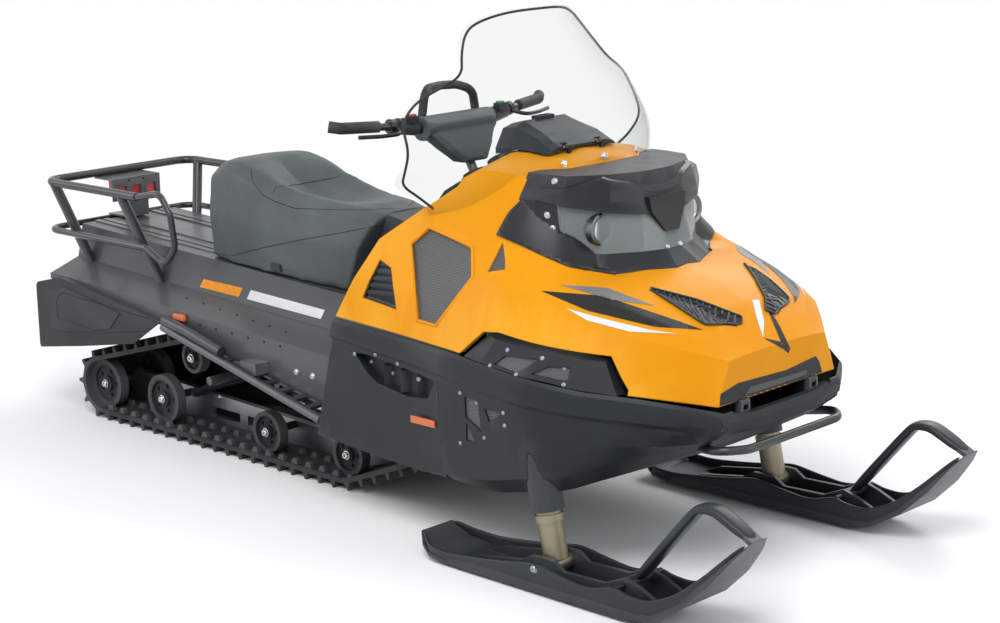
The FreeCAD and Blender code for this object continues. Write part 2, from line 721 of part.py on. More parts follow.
def make_rack():
    half, dia, bend = size.rack_half, size.rack_tube, size.rack_bend
    back, front, top, mid = size.rack_back, size.rack_front, size.rack_top, size.rack_mid
    thin = dia - 6
    rail = tube([(front, half, top), (back, half, top), (back, -half, top), (front, -half, top)],
                dia, bend)
    shapes = [rail]
    shapes.append(tube([(front + 40, half, mid), (back, half, mid), (back, -half, mid),
                        (front + 40, -half, mid)], thin, bend))
    for side in (-1, 1):
        y = side * half
        for foot, head in ((-1450, -1525), (-1060, -1150)):
            foot_z = deck_z(foot, size.groove_drop + 12)
            shapes.append(rod((head, y, top), (foot, side * size.rack_foot, foot_z), size.rack_post))
        shapes.append(tube([(front, y, top), (-935, y, top + 24), (-885, y, top - 40), (-868, y, mid + 20),
                            (-925, y, mid - 46), (front + 40, y, mid)], thin, 45))
    feature("cargo_rack", largest(fuse(shapes).cut(tunnel.Shape)))
    plate_x = back + 100
    wall = size.shell_wall
    under = top - dia / 2 - size.seat_gap
    plate = box(plate_x - wall, plate_x, -102, 102, top - 92, under)
    low = mid + thin / 2 + size.seat_gap
    plate = fuse([plate, box(back - 4, plate_x, -102, 102, under - wall, under),
                  box(plate_x - wall, plate_x, -48, 48, low, top - 80),
                  box(back - 8, plate_x, -48, 48, low, low + wall)])
    for y in (-62, 0, 62):
        plate = plate.cut(box(plate_x - 20, plate_x + 20, y - 19, y + 19, top - 82, top - 44))
    for y in (-30, 30):
        plate = plate.cut(rod((plate_x - 20, y, top - 26), (plate_x + 20, y, top - 26), 9))
    feature("rack_plate", plate)
    lamp_x = plate_x - wall - size.seat_gap
    lamp = fuse([box(lamp_x - 38, lamp_x, -86, 86, top - 78, under - wall - size.seat_gap),
                 box(lamp_x - 46, lamp_x, -78, 78, top - 72, under - wall - 8)])
    feature("tail_lamp", lamp)


SEAT_SECTIONS = [
    (-853, 176, [(168, 880), (118, 920), (60, 930), (0, 930)]),
    (-790, 194, [(184, 905), (134, 946), (66, 950), (0, 949)]),
    (-720, 202, [(190, 918), (140, 957), (70, 955), (0, 946)]),
    (-640, 204, [(192, 922), (142, 961), (72, 940), (0, 905)]),
    (-560, 202, [(190, 916), (140, 956), (72, 915), (0, 878)]),
    (-470, 198, [(186, 900), (134, 942), (68, 896), (0, 870)]),
    (-380, 192, [(178, 876), (122, 916), (58, 882), (0, 866)]),
    (-290, 184, [(166, 846), (106, 886), (50, 870), (0, 862)]),
    (-190, 172, [(152, 812), (96, 850), (46, 852), (0, 852)]),
    (-102, 160, [(140, 790), (86, 826), (42, 834), (0, 836)]),
]
SEAT_FRONT = [(-230, 500), (-210, 565), (-102, 838), (-60, 1000), (60, 1000), (60, 500)]


def make_seat():
    """A scooped saddle with a raised back, on the deck."""
    rows = []
    for x, half, crown in SEAT_SECTIONS:
        bottom = deck_z(x) + 1
        rows.append((x, [(half - 6, bottom), (half + 6, bottom + 150)] + crown))
    seat = body_loft(smooth(rows, 45))
    seat = seat.cut(side_prism(SEAT_FRONT, -400, 400))
    under = prism([(-1000, -400, deck_z(-1000) + 1), (0, -400, deck_z(0) + 1), (0, -400, deck_z(0) - 200),
                   (-1000, -400, deck_z(-1000) - 200)], (0, 800, 0))
    feature("seat", largest(seat.cut(under)))


# Side panels below the rim
def side_rows(depth):
    """Closed sections of a side panel, so thick, at each station."""
    foot = size.side_half + size.board_out_low + size.rail_tube / 2 + size.seat_gap
    wall = size.shell_wall
    rows = []
    for x, skirt in ((-80, [(foot + wall + 1, 470), (foot + wall, 330), (foot + wall, 226)]),
                     (86, [(foot + 11, 470), (foot + 9, 330), (foot + 6, 216)]),
                     (240, [(foot + 22, 465), (foot + 16, 320), (foot + 9, 208)]),
                     (400, [(foot + 37, 455), (foot + 30, 312), (foot + 15, 204)]),
                     (519.7, [(498, 455), (493, 320), (471, 212)])):
        outside = rim_profile(x) + [(rim(x)[0] - 16, rim(x)[3] - 12)] + skirt
        inside = [(y - depth, z) for y, z in reversed(outside)]
        rows.append((x, outside + inside))
    return rows


def side_loft(depth):
    rows = smooth(side_rows(depth), 80)
    return Part.makeLoft([polygon([(x, y, z) for y, z in row]) for x, row in rows], True, True)


POCKET = [(140, 505), (205, 510), (440, 496), (506, 488), (470, 432), (375, 419), (240, 433), (196, 455)]
SIDE_REAR = [(-90, 640), (56, 640), (56, 586), (-45, 226), (-60, 180), (-90, 180)]


def make_side_panels():
    """Each panel has a sunk pocket with three fins under the rim."""
    depth = 26
    solid = side_loft(depth + 12)
    behind = side_loft(depth + 60)
    behind.translate(Vector(0, -size.shell_wall, 0))
    behind = behind.cut(side_prism(grown(POCKET, size.shell_wall), 300, 700))
    floor = [(90, 452 - depth), (560, 498 - depth), (560, 700), (90, 700)]
    hollow = plan_prism(floor, 380, 540).common(side_prism(POCKET, 300, 700))
    back = [(90, 452 - depth - 5), (560, 498 - depth - 5), (560, 300), (90, 300)]
    panel = solid.cut(behind).cut(hollow).cut(plan_prism(back, 100, 700))
    fins = []
    for x in (255, 330, 405):
        base = 452 - depth + (x - 90) * 46 / 470
        corners = [(x, base - 1, 424), (x + 30, base + 2, 424), (x + 15, base + 22, 424)]
        fins.append(prism(corners, (0, 0, 66)))
    panel = fuse([panel] + fins)
    panel = largest(panel.cut(side_prism(SIDE_REAR, -600, 600)))
    for name, side in SIDES.items():
        feature(f"side_panel_{name}", on_side(panel, side))


HULL_WINDOWS = [
    [(633, 474), (688, 468), (696, 386), (634, 412)],
    [(635, 400), (674, 346), (632, 348)],
    [(714, 455), (786, 455), (730, 420)],
]
BULGE_WINDOWS = [
    [(752, 582), (787, 611), (895, 617), (866, 590), (834, 574)],
    [(884, 578), (928, 601), (986, 604), (990, 571), (966, 570)],
]
BULGE_FOOT = [(622, 452), (628, 508), (700, 518), (860, 529), (1000, 495), (1110, 434), (1110, 400)]
BULGE_CROWN = [(692, 430), (700, 478), (745, 500), (870, 496), (1000, 462), (1064, 424), (1056, 396)]


def bulge_solid(shrink):
    """The moulded cover's outer form, or its hollow so far inside it."""
    foot = grown(BULGE_FOOT, -shrink) if shrink else BULGE_FOOT
    crown = grown(BULGE_CROWN, -shrink) if shrink else BULGE_CROWN
    rows = []
    for outline, height, fall in ((foot, 634, 0.087), (crown, 704 - shrink, 0.078)):
        base = [(x, y, height - fall * x) for x, y in outline]
        if shrink:
            base = [(x, y - 70 if y < 460 - shrink else y, z) for x, y, z in base]
        rows.append(polygon(base))
    return Part.makeLoft(rows, True, True)


def make_hull():
    """The hull with its rim, mesh windows and the tray in the nose."""
    shell = hull_outside.cut(hull_inner())
    walls = shell
    inserts = []
    for window in HULL_WINDOWS:
        cutter = side_prism(window, 420, 700)
        shell = shell.cut(cutter).cut(mirrored(cutter))
        insert = largest(walls.common(side_prism(grown(window, 5), 420, 700)))
        insert.translate(Vector(0, -size.shell_wall - 2 * size.seat_gap, 0))
        inserts.append(insert)
    for side in (-1, 1):
        column = size.strut_tube + 2 * size.seat_gap
        shell = shell.cut(rod(strut_point(side, 100), strut_point(side, 650), column))
    shell = shell.cut(box(1290, 1330, -214, 214, 466, 520))
    tray = [box(1206, 1309, -205, 205, 452, 457), box(1201, 1206, -205, 205, 452, 545)]
    tray += [box(1209, 1300, y - 3, y + 3, 457, 466) for y in range(-80, 81, 40)]
    inside = fuse(tray).common(hull_inner())
    feature("belly_pan", largest(fuse([shell, inside])))
    outer = bulge_solid(0)
    cover = outer.cut(bulge_solid(size.shell_wall)).cut(hull_outside)
    mesh_band = bulge_solid(size.shell_wall + size.seat_gap).cut(bulge_solid(size.shell_wall + 3))
    for window in BULGE_WINDOWS:
        cutter = side_prism(window, 470, 700)
        cover = cover.cut(cutter)
        inserts.append(largest(mesh_band.common(side_prism(grown(window, 5), 470, 700))))
    for name, side in SIDES.items():
        feature(f"side_vent_{name}", on_side(largest(cover), side))
    feature("vent_meshes", Part.makeCompound(inserts + [mirrored(insert) for insert in inserts]))


def make_engine_bay():
    half = size.engine_half
    feature("engine_block", box(410, 785, -half, half, 320 + size.seat_gap, 640))
    rail = size.side_half + size.seat_gap
    frame = []
    for side in (-1, 1):
        low, high = sorted((side * rail, side * (rail + 25)))
        frame += [box(120, 920, low, high, 280, 320), box(805, 850, low, high, 280, 530)]
    frame += [box(405, 435, -rail - 25, rail + 25, 280, 320), box(750, 780, -rail - 25, rail + 25, 280, 320),
              box(805, 850, -495, 495, 500, 530)]
    frame = fuse(frame)
    for side in (-1, 1):
        frame = frame.cut(rod(strut_point(side, 150), strut_point(side, 650), size.strut_tube))
    feature("front_frame", largest(frame))


# Hood openings as side outlines (x, z), and the plan outline of a nose vent
HEX_MESH = [(386, 883), (549, 848), (588, 780), (492, 643), (415, 645), (330, 832)]
CORNER_MESH = [(642, 872), (694, 812), (640, 800)]
LOUVRE_VENT = [(219, 780), (269, 764), (320, 655), (172, 668)]
NOSE_VENT = [(1026, 210), (1036, 198), (1231, 86), (1192, 175)]
ARCH_CUT = [(600, 530), (603, 576), (690, 656), (745, 662), (1074, 636), (1132, 556), (1134, 530)]
HOOD_BAY = [(728, 285), (785, 268), (856, 172), (888, 88), (896, 28)]


def hood_plate(outline, y_from, y_to, normal, margin=5):
    """A plate that backs a hood opening, moved in under the hood's skin."""
    plate = largest(hood_shell.common(side_prism(grown(outline, margin), y_from, y_to)))
    plate.translate(Vector(*normal) * -(size.shell_wall + size.slide_gap))
    return largest(plate.cut(hood_shell.cut(side_prism(outline, y_from, y_to))))


def make_hood():
    shell = hood_shell
    grilles, louvres = [], []
    for outline, normal, span in ((HEX_MESH, (0, 0.905, 0.427), (300, 500)),
                                  (CORNER_MESH, (0.2, 0.85, 0.49), (280, 420))):
        opening = side_prism(outline, *span)
        shell = shell.cut(opening).cut(mirrored(opening))
        grilles.append(hood_plate(outline, *span, normal))
    opening = side_prism(LOUVRE_VENT, 380, 480)
    shell = shell.cut(opening).cut(mirrored(opening))
    vent = hood_plate(LOUVRE_VENT, 380, 480, (0, 0.95, 0.31))
    room = side_prism(grown(LOUVRE_VENT, -6), 340, 480)
    slats = []
    for step in range(5):
        z = 680 + step * 20
        slats.append(side_prism([(150, z), (340, z + 9), (340, z + 19), (150, z + 10)], 340, 480))
    louvres.append(fuse([vent.cut(room), vent.common(fuse(slats))]))
    nose = plan_prism(NOSE_VENT, 560, 780)
    shell = shell.cut(nose).cut(mirrored(nose))
    plug = largest(hood_shell.common(plan_prism(grown(NOSE_VENT, -size.seat_gap), 560, 780)))
    along, across = Vector(0.866, -0.5, 0), Vector(0.5, 0.866, 0)
    start = Vector(1046, 196, 0)
    slots = []
    for step in range(11):
        middle = start + along * (16 * step)
        corners = [middle + across * 70, middle + across * 70 + along * 7.5,
                   middle - across * 70 + along * 7.5, middle - across * 70]
        slots.append(prism([(p.x, p.y, 560) for p in corners], (0, 0, 220)))
    inside = plan_prism(grown(NOSE_VENT, -7), 560, 780)
    louvres.append(plug.cut(fuse(slots).common(inside)))
    for side in (-1, 1):
        near, far = sorted((side * 360, side * 620))
        shell = shell.cut(side_prism(ARCH_CUT, near, far))
    shell = shell.cut(plan_prism(symmetric(HOOD_BAY), 806, 1036))
    half = size.tub_half
    shell = shell.cut(box(size.tub_back, size.tub_front, -half, half, 1000, 1150))
    x, z, row = size.hood_hinge_x, size.hood_hinge_z, size.hinge_row
    pin, eye = size.hinge_pin, size.hinge_pin * 2
    knuckles, brackets = [], []
    for y in (-row, row):
        arm = box(x - eye / 2, x - 1, y - 9, y + 9, z, 560)
        knuckle = fuse([rod((x, y - 9, z), (x, y + 9, z), eye), arm.common(hood_outside)])
        knuckles.append(knuckle.cut(rod((x, y - 20, z), (x, y + 20, z), pin + 2 * 0.05)))
        for edge in (-1, 1):
            near, far = sorted((y + edge * 10, y + edge * 18))
            brackets.append(rod((x, near, z), (x, far, z), eye))
            brackets.append(box(x - eye / 2, x + eye / 2, near, far, 470, z))
        brackets.append(box(x - eye / 2, 1306, y - 18, y + 18, 462, 480))
        brackets.append(rod((x, y - 18, z), (x, y + 18, z), pin))
    lug_x, lug_z, lid_eye = size.lid_hinge_x, size.lid_hinge_z, size.lid_pin + 5
    for y in (-size.lid_row, size.lid_row):
        lug = fuse([rod((lug_x, y - 6, lug_z), (lug_x, y + 6, lug_z), lid_eye),
                    box(lug_x - lid_eye / 2, lug_x + lid_eye / 2, y - 6, y + 6, 1065, lug_z),
                    rod((lug_x, y - 18, lug_z), (lug_x, y + 18, lug_z), size.lid_pin)])
        knuckles.append(lug.cut(hood_inner()))
    for y in (-row, row):
        shell = shell.cut(rod((x, y - 22, z), (x, y + 22, z), eye + 4))
    shell = fuse([shell] + knuckles)
    feature("hood", largest(shell))
    feature("hinge_brackets", fuse(brackets))
    feature("hood_grilles", Part.makeCompound(grilles + [mirrored(grille) for grille in grilles]))
    feature("hood_louvres", Part.makeCompound(louvres + [mirrored(louvre) for louvre in louvres]))


LID_SECTIONS = [
    (420, [(150, 1060), (150, 1084), (118, 1136), (80, 1146), (0, 1146)]),
    (470, [(152, 1064), (152, 1088), (118, 1142), (85, 1158), (0, 1158)]),
    (560, [(151, 1060), (151, 1084), (125, 1118), (92, 1126), (0, 1126)]),
    (600, [(147, 1055), (147, 1080), (130, 1096), (100, 1106), (0, 1106)]),
    (616, [(144, 1050), (144, 1076), (132, 1088), (102, 1097), (0, 1097)]),
]


def make_box():
    """The lid, hinged at its front edge, and the tub in the hood under it."""
    lift = size.moving_gap
    outside = Part.makeLoft([closed_section(x, half) for x, half in LID_SECTIONS], True, True)
    hollow_rows = []
    for index, (x, half) in enumerate(LID_SECTIONS):
        shift = {0: size.shell_wall, len(LID_SECTIONS) - 1: -size.shell_wall}.get(index, 0)
        hollow_rows.append(closed_section(x + shift, [(y - size.shell_wall if y else 0, z - size.shell_wall)
                                                      for y, z in half]))
    lid = outside.cut(Part.makeLoft(hollow_rows, True, True))
    raised = hood_outside.copy()
    raised.translate(Vector(0, 0, lift))
    lid = lid.cut(raised)
    x, z, eye = size.lid_hinge_x, size.lid_hinge_z, size.lid_pin + 5
    tabs = []
    for y in (-size.lid_row, size.lid_row):
        lid = lid.cut(box(x - 22, x + 22, y - 12, y + 12, 1000, 1200))
        for edge in (-1, 1):
            near, far = sorted((y + edge * 7, y + edge * 15))
            tab = fuse([rod((x, near, z), (x, far, z), eye), box(x - 24, x, near, far, z - eye / 2, z + 3)])
            tabs.append(tab.cut(rod((x, y - 30, z), (x, y + 30, z), size.lid_pin + 2 * 0.1)))
    handle = box(452, 478, -34, 34, 1150, 1165).cut(box(458, 472, -24, 24, 1140, 1200))
    feature("box_lid", largest(fuse([lid, handle] + tabs)))
    half = size.tub_half - size.seat_gap
    back, front = size.tub_back + size.seat_gap, size.tub_front - size.seat_gap
    wall = 4
    tub = box(back, front, -half, half, size.tub_floor, 1150)
    tub = tub.cut(box(back + wall, front - wall, -half + wall, half - wall, size.tub_floor + wall, 1200))
    feature("storage_box", largest(tub.common(hood_outside)))


# Headlight pod: symmetric half plan outlines (x, y) at each height
POD = [
    (790, [(628, 348), (700, 336), (790, 296), (884, 240), (955, 152), (1003, 52)]),
    (842, [(640, 322), (705, 306), (790, 262), (868, 190), (925, 100), (945, 30)]),
    (985, [(650, 300), (712, 300), (786, 290), (862, 180), (895, 80), (902, 30)]),
    (1052, [(650, 262), (705, 262), (780, 250), (850, 160), (880, 75), (886, 30)]),
]
LAMP_BACK = [(778, 420), (778, 262), (766, 245), (790, 130), (800, 40)]
VISOR = [
    (930, [(712, 318), (796, 292), (875, 193), (917, 92), (929, 30)]),
    (972, [(712, 314), (794, 300), (873, 190), (908, 88), (916, 30)]),
    (1020, [(712, 300), (790, 288), (866, 178), (897, 82), (904, 30)]),
    (1085, [(712, 266), (780, 254), (852, 164), (883, 78), (889, 30)]),
]


def pod_solid(inside=0.0):
    rows = []
    for z, half in POD:
        outline = grown(symmetric(half), -inside) if inside else symmetric(half)
        rows.append(polygon([(x, y, z) for x, y in outline]))
    return Part.makeLoft(rows, True, True)


def lamp_cavity(gap):
    """The hollow behind the lens, open to the front, smaller by a gap at its back."""
    half = [(1100, 420)] + [(x + gap, y) for x, y in LAMP_BACK]
    outline = [(x, -y) for x, y in half] + [(x, y) for x, y in reversed(half)]
    return plan_prism(outline, 842 + gap, 985 - gap)


def make_headlight():
    """The pod on the nose: a housing with two projectors behind one wide lens."""
    pod = pod_solid()
    gap = size.seat_gap
    bay = plan_prism(grown(symmetric(HOOD_BAY), -gap), 806 + gap, 1036 - gap)
    around = hood_solid.cut(bay)
    housing = largest(pod.cut(around).cut(lamp_cavity(0)))
    feature("headlight_housing", housing)
    front = box(778 + gap, 1100, -420, 420, 842 + gap, 985 - gap)
    lens = pod.cut(pod_solid(size.lens_wall)).common(front).cut(around)
    lens = largest(lens)
    feature("headlight_lens", lens)
    near, far = lamp_cavity(0.5), lamp_cavity(3.5)
    shapes = [near.cut(far)]
    for y in (-190, 190):
        shapes.append(rod((770, y, 908), (900, y, 908), 60))
        shapes.append(rod((770, y, 908), (805, y, 908), 68))
    room = pod_solid(size.lens_wall + 4).common(near)
    middle = box(700, 1000, -258, 258, 800, 1000)
    feature("headlamps", largest(fuse(shapes).common(room).common(middle).cut(around)))
    hull = [polygon([(x, y, z) for x, y in symmetric(half)]) for z, half in VISOR]
    visor = Part.makeLoft(hull, True, True)
    roof = [(-330, 900), (-325, 975), (-286, 1018), (-150, 1056), (0, 1074), (150, 1056), (286, 1018),
            (325, 975), (330, 900)]
    side = [(712, 1062), (790, 1076), (880, 1030), (920, 985), (932, 938), (905, 944), (780, 983),
            (700, 990)]
    visor = visor.common(front_prism(roof, 700, 950)).common(side_prism(side, -330, 330))
    beak = side_prism([(860, 985), (922, 985), (925, 945), (940, 889), (920, 889), (868, 930)], -80, 80)
    beak_front = [(-76, 990), (76, 990), (71, 948), (28, 889), (-28, 889), (-71, 948)]
    beak = beak.common(front_prism(beak_front, 850, 950))
    slab = pod_solid(-gap)
    visor = fuse([visor, beak]).cut(slab).cut(hood_solid)
    feature("headlight_visor", largest(visor))


# Windshield: sweep of its plan curve and place of its middle at each height
SCREEN = [(895, 950, 2.6), (928, 840, 2.6), (975, 620, 2.6), (1005, 520, 2.6), (1046, 380, 2.6),
          (1070, 320, 2.6), (1173, 255, 2.5), (1246, 275, 2.45), (1290, 340, 2.4), (1360, 450, 2.33),
          (1420, 560, 2.27), (1485, 630, 2.2)]
SCREEN_EDGE = [(0, 1470), (118, 1465), (200, 1442), (238, 1415), (276, 1360), (305, 1305), (375, 1274),
               (432, 1246), (470, 1208), (488, 1173), (490, 1110), (474, 1046), (450, 1005), (412, 970),
               (380, 936), (360, 905)]


def screen_rows(inside):
    """Points on the screen's outer face, or on its inner face, row by row."""
    rows = []
    for z, sweep, power in SCREEN:
        points = []
        for step in range(-12, 13):
            y = 500 * step / 12
            share = abs(y) / 500
            slope = sweep * power / 500 * share ** (power - 1) * (1 if y > 0 else -1)
            x = 694 - 0.585 * (z - 1070) - sweep * share ** power
            reach = inside * 1.16 / math.hypot(1, slope)
            points.append(Vector(x - reach, y - reach * slope, z))
        rows.append(points)
    return rows


def spline_edge(points):
    curve = Part.BSplineCurve()
    curve.interpolate(points)
    return curve.toShape()


def make_windshield():
    """A thin swept sheet, trimmed to its rounded outline and to the hood."""
    wires = []
    for outer, inner in zip(screen_rows(0), screen_rows(size.screen_wall)):
        front, back = spline_edge(outer), spline_edge(list(reversed(inner)))
        wires.append(Part.Wire([front, Part.LineSegment(outer[-1], inner[-1]).toShape(), back,
                                Part.LineSegment(inner[0], outer[0]).toShape()]))
    screen = Part.makeLoft(wires, True, False)
    half = [Vector(100, y, z) for y, z in SCREEN_EDGE]
    upper = [Vector(100, -p.y, p.z) for p in reversed(half[1:])] + half
    rim_edge = spline_edge(upper)
    foot = Part.makePolygon([upper[-1], Vector(100, 300, 890), Vector(100, -300, 890), upper[0]])
    face = Part.Face(Part.Wire([rim_edge] + foot.Edges))
    screen = screen.common(face.extrude(Vector(700, 0, 0))).cut(hood_outside)
    taken = pod_solid(-size.seat_gap)
    feature("windshield", largest(screen.cut(taken)))


# Steering
def column_point(along, y=0.0, forward=0.0):
    """A point at a distance up the steering column from its pivot mark."""
    lean = math.radians(size.column_lean)
    return Vector(size.column_x - along * math.sin(lean) + forward * math.cos(lean), y,
                  size.column_z + along * math.cos(lean) + forward * math.sin(lean))


def make_steering():
    reach = size.bar_reach
    low, high = tuple(column_point(-250)), tuple(column_point(reach - 5))
    feature("steering_column", rod(low, high, size.column))
    outline = [(-198, deck_z(-198) + 1), (298, deck_z(298) + 1), (345, 600), (352, 740), (350, 850),
               (290, 930), (215, 960), (150, 925), (110, 880), (60, 820), (-20, 812), (-100, 826),
               (-192, 602)]
    half = size.console_half
    console = side_prism(outline, -half, half)
    broad = side_prism([(40, deck_z(40) + 1), (298, deck_z(298) + 1), (345, 600), (352, 740), (300, 790),
                        (60, 770)], -half - 45, half + 45)
    console = fuse([console, broad])
    folds = []
    for step in range(4):
        start = -18 + step * 15
        wide = 104 - step * 5
        folds.append(rod(tuple(column_point(start)), tuple(column_point(start + 8)), wide))
        folds.append(rod(tuple(column_point(start + 7)), tuple(column_point(start + 16)), wide - 16))
    console = fuse([console] + folds)
    console = console.cut(rod(tuple(column_point(-262)), high, size.column + 2 * size.slide_gap))
    feature("console", largest(console))
    dial = [rod((330, 0, 980), (303, 0, 1025), 92), rod((345, -58, 962), (345, 58, 962), 48),
            box(300, 370, -40, 40, 928, 965)]
    panel = fuse(dial + [box(330, 372, -30, 30, 850, 940)]).cut(fuse([console]))
    feature("instrument_panel", largest(panel))
    x, z = column_point(reach).x, column_point(reach).z
    rise, half = size.bar_rise, size.bar_half
    bar = tube([(x - 62, half, z + rise + 4), (x - 45, half - 20, z + rise), (x - 12, 250, z + rise - 10),
                (x, 110, z), (x, -110, z), (x - 12, -250, z + rise - 10), (x - 45, -half + 20, z + rise),
                (x - 62, -half, z + rise + 4)], size.bar_tube, 60)
    feature("handlebar", bar.cut(rod(low, high, size.column)))
    grips = []
    for side in (-1, 1):
        grip = tube([(x - 19, side * 292, z + rise - 6), (x - 45, side * (half - 20), z + rise),
                     (x - 68, side * (half + 7), z + rise + 6)], size.grip, 30)
        grips.append(grip.cut(bar))
    feature("grips", Part.makeCompound([largest(grip) for grip in grips]))
    wide, dia = size.pad_half, size.pad
    pad = rod((x, -wide, z + 6), (x, wide, z + 6), dia)
    skirt_low, foot = column_point(125), column_point(80)
    rows = []
    for middle, back, front, reach_y, height in ((x, -34, 36, wide - 4, z - 4),
                                                 (skirt_low.x, -30, 34, 92, skirt_low.z),
                                                 (foot.x, -24, 30, 52, foot.z)):
        corners = [(back, -reach_y), (back, reach_y), (front, reach_y), (front, -reach_y)]
        rows.append(polygon([(middle + along, across, height) for along, across in corners]))
    skirt = Part.makeLoft(rows, True, True)
    pad = fuse([pad, skirt]).cut(bar).cut(rod(low, high, size.column))
    feature("handlebar_pad", largest(pad))
    pods, levers = [], []
    for side in (-1, 1):
        pod = rod((x - 6, side * 158, z + 11), (x - 14, side * 224, z + 21), 48)
        button = box(x - 4, x + 22, *sorted((side * 168, side * 200)), z + 26, z + 48)
        pods.append(fuse([pod, button]).cut(bar))
        lever = tube([(x + 6, side * 240, z + 18), (x + 44, side * 262, z + 8), (x + 34, side * 330, z + 8),
                      (x + 10, side * 395, z + 10)], 12, 30)
        clamp = ring((x - 15, side * 236.5, z + 22), (x - 17, side * 254, z + 24), 42, size.bar_tube)
        levers.append(largest(fuse([lever, clamp]).cut(bar)))
    feature("switch_pods", Part.makeCompound([largest(pod) for pod in pods]))
    feature("control_levers", Part.makeCompound(levers))
    strap = tube([(x - 25, 112, z + 30), (x - 25, 100, z + 95), (x - 50, 60, z + 112), (x - 60, 0, z + 114),
                  (x - 50, -60, z + 112), (x - 25, -100, z + 95), (x - 25, -112, z + 30)], 26, 45)
    feature("grab_strap", largest(strap.cut(pad)))


# Skis
SKI_PLAN = [(484, 60), (512, 84), (560, 95), (1350, 95), (1490, 88), (1565, 64), (1600, 30)]


def make_skis():
    for name, side in SIDES.items():
        y = side * size.ski_stance / 2
        half = size.ski_width / 2
        sole, keel = size.ski_sole, size.keel_height
        back, tip, tip_z = size.ski_back, size.ski_tip, size.ski_tip_z
        flat_back, flat_front = size.ski_flat_back, size.ski_flat_front
        under = [(back, 58), (flat_back - 20, keel + 6), (flat_back + 40, keel), (flat_front, keel),
                 (1340, 30), (1430, 82), (1510, 160), (tip - 8, tip_z - 12)]
        upper = [(tip, tip_z), (1502, 172), (1420, 94), (1332, 42), (flat_front, keel + sole),
                 (flat_back + 40, keel + sole), (flat_back - 22, keel + sole + 6), (back, 68)]
        plate = side_prism(under + upper, y - half, y + half)
        plan = [(x, y + wide) for x, wide in SKI_PLAN] + [(x, y - wide) for x, wide in reversed(SKI_PLAN)]
        plate = plate.common(plan_prism(plan, 0, 400))
        walls = []
        wall_outline = [(620, keel + 2), (700, 44), (860, 70), (900, 92), (975, 92), (1010, 70), (1150, 74),
                        (1219, 104), (1270, 88), (1345, 56), (1345, keel + 26), (flat_front, keel + 2)]
        inner = size.ski_inner
        for edge in (-1, 1):
            face = y + edge * inner
            walls.append(side_prism(wall_outline, face, face + edge * size.ski_wall))
        for edge in (-1, 1):
            outer = y + edge * half
            walls.append(side_prism([(600, keel + 2), (640, 34), (1280, 36), (1340, 44), (1330, keel + 16),
                                     (flat_front, keel + 2)], outer, outer - edge * 8))
        ski = fuse([plate] + walls)
        for place in ((size.pivot_x, size.pivot_z), (1219, 86)):
            ski = ski.cut(rod((place[0], y - 100, place[1]), (place[0], y + 100, place[1]), 14))
        feature(f"ski_{name}", ski)
        blade = size.keel / 2
        keel_bar = side_prism([(640, keel), (655, 0), (1230, 0), (1255, keel)], y - blade, y + blade)
        feature(f"ski_runner_{name}", keel_bar)
        strap = flat_strap([(1219, 86), (1420, 324), (1478, 326), (1594, 268)], y, 44, size.strap, 50)
        strap = largest(strap.cut(plate))
        width = inner - size.seat_gap
        boss = rod((1219, y - width, 86), (1219, y + width, 86), 30)
        pin = rod((1219, y - half + 4, 86), (1219, y + half - 4, 86), 13.8)
        feature(f"ski_handle_{name}", fuse([strap, boss, pin]))
        low = strut_point(side, 76)
        top = strut_point(side, size.strut_rod_top)
        leg = rod(low, top, size.strut_rod)
        x, z = size.pivot_x, size.pivot_z
        yoke = rod((x, y - width, z), (x, y + width, z), size.pivot_pin)
        bolt = rod((x, y - inner - 20, z), (x, y + inner + 20, z), 13.8)
        cap = rod(strut_point(side, 176), strut_point(side, 196), size.strut_rod + 10)
        feature(f"strut_rod_{name}", fuse([leg, yoke, bolt, cap]))
        tube_low, tube_top = size.strut_tube_low, size.strut_tube_top
        outer = rod(strut_point(side, tube_low), strut_point(side, tube_top), size.strut_tube)
        bore = rod(strut_point(side, tube_low - 20), strut_point(side, size.strut_rod_top + 20),
                   size.strut_rod + 2 * size.slide_gap)
        feature(f"strut_tube_{name}", outer.cut(bore))


def make_front():
    """The moulded bumper across the nose, with a tube loop below it."""
    sections = [
        (-262, [(1290, 448), (1312, 446), (1316, 470), (1304, 487), (1285, 487)]),
        (-130, [(1296, 428), (1330, 430), (1328, 458), (1315, 472), (1296, 472)]),
        (130, [(1296, 428), (1330, 430), (1328, 458), (1315, 472), (1296, 472)]),
        (262, [(1290, 448), (1312, 446), (1316, 470), (1304, 487), (1285, 487)]),
    ]
    rows = [polygon([(x, y, z) for x, z in outline]) for y, outline in sections]
    bumper = Part.makeLoft(rows, True, True)
    solid_hull = hull_outside.cut(box(1290, 1330, -214, 214, 466, 520))
    keep_out = fuse([piece.Shape for piece in pieces if piece.Label in ("belly_pan", "hinge_brackets")])
    feature("front_bumper", largest(bumper.cut(solid_hull).cut(keep_out)))
    bar = tube([(1160, -215, 372), (1300, -262, 390), (1352, -200, 392), (1352, 200, 392), (1300, 262, 390),
                (1160, 215, 372)], size.bumper_tube, 60)
    feature("bumper_bar", largest(bar.cut(hull_outside).cut(bumper)))


def make_small_pieces(rear_reflectors):
    """Reflectors on the panels and fender, and the short cable under the tail."""
    gap = size.seat_gap
    panel = [piece.Shape for piece in pieces if piece.Label == "side_panel_left"][0]
    row = panel.common(box(408, 502, 300, 600, 356, 376))
    start = row.optimalBoundingBox().YMax + gap
    plate = box(408, 502, start, start + 5, 356, 376)
    lamps = [on_side(plate, side) for side in SIDES.values()]
    feature("reflectors", Part.makeCompound(rear_reflectors + lamps))


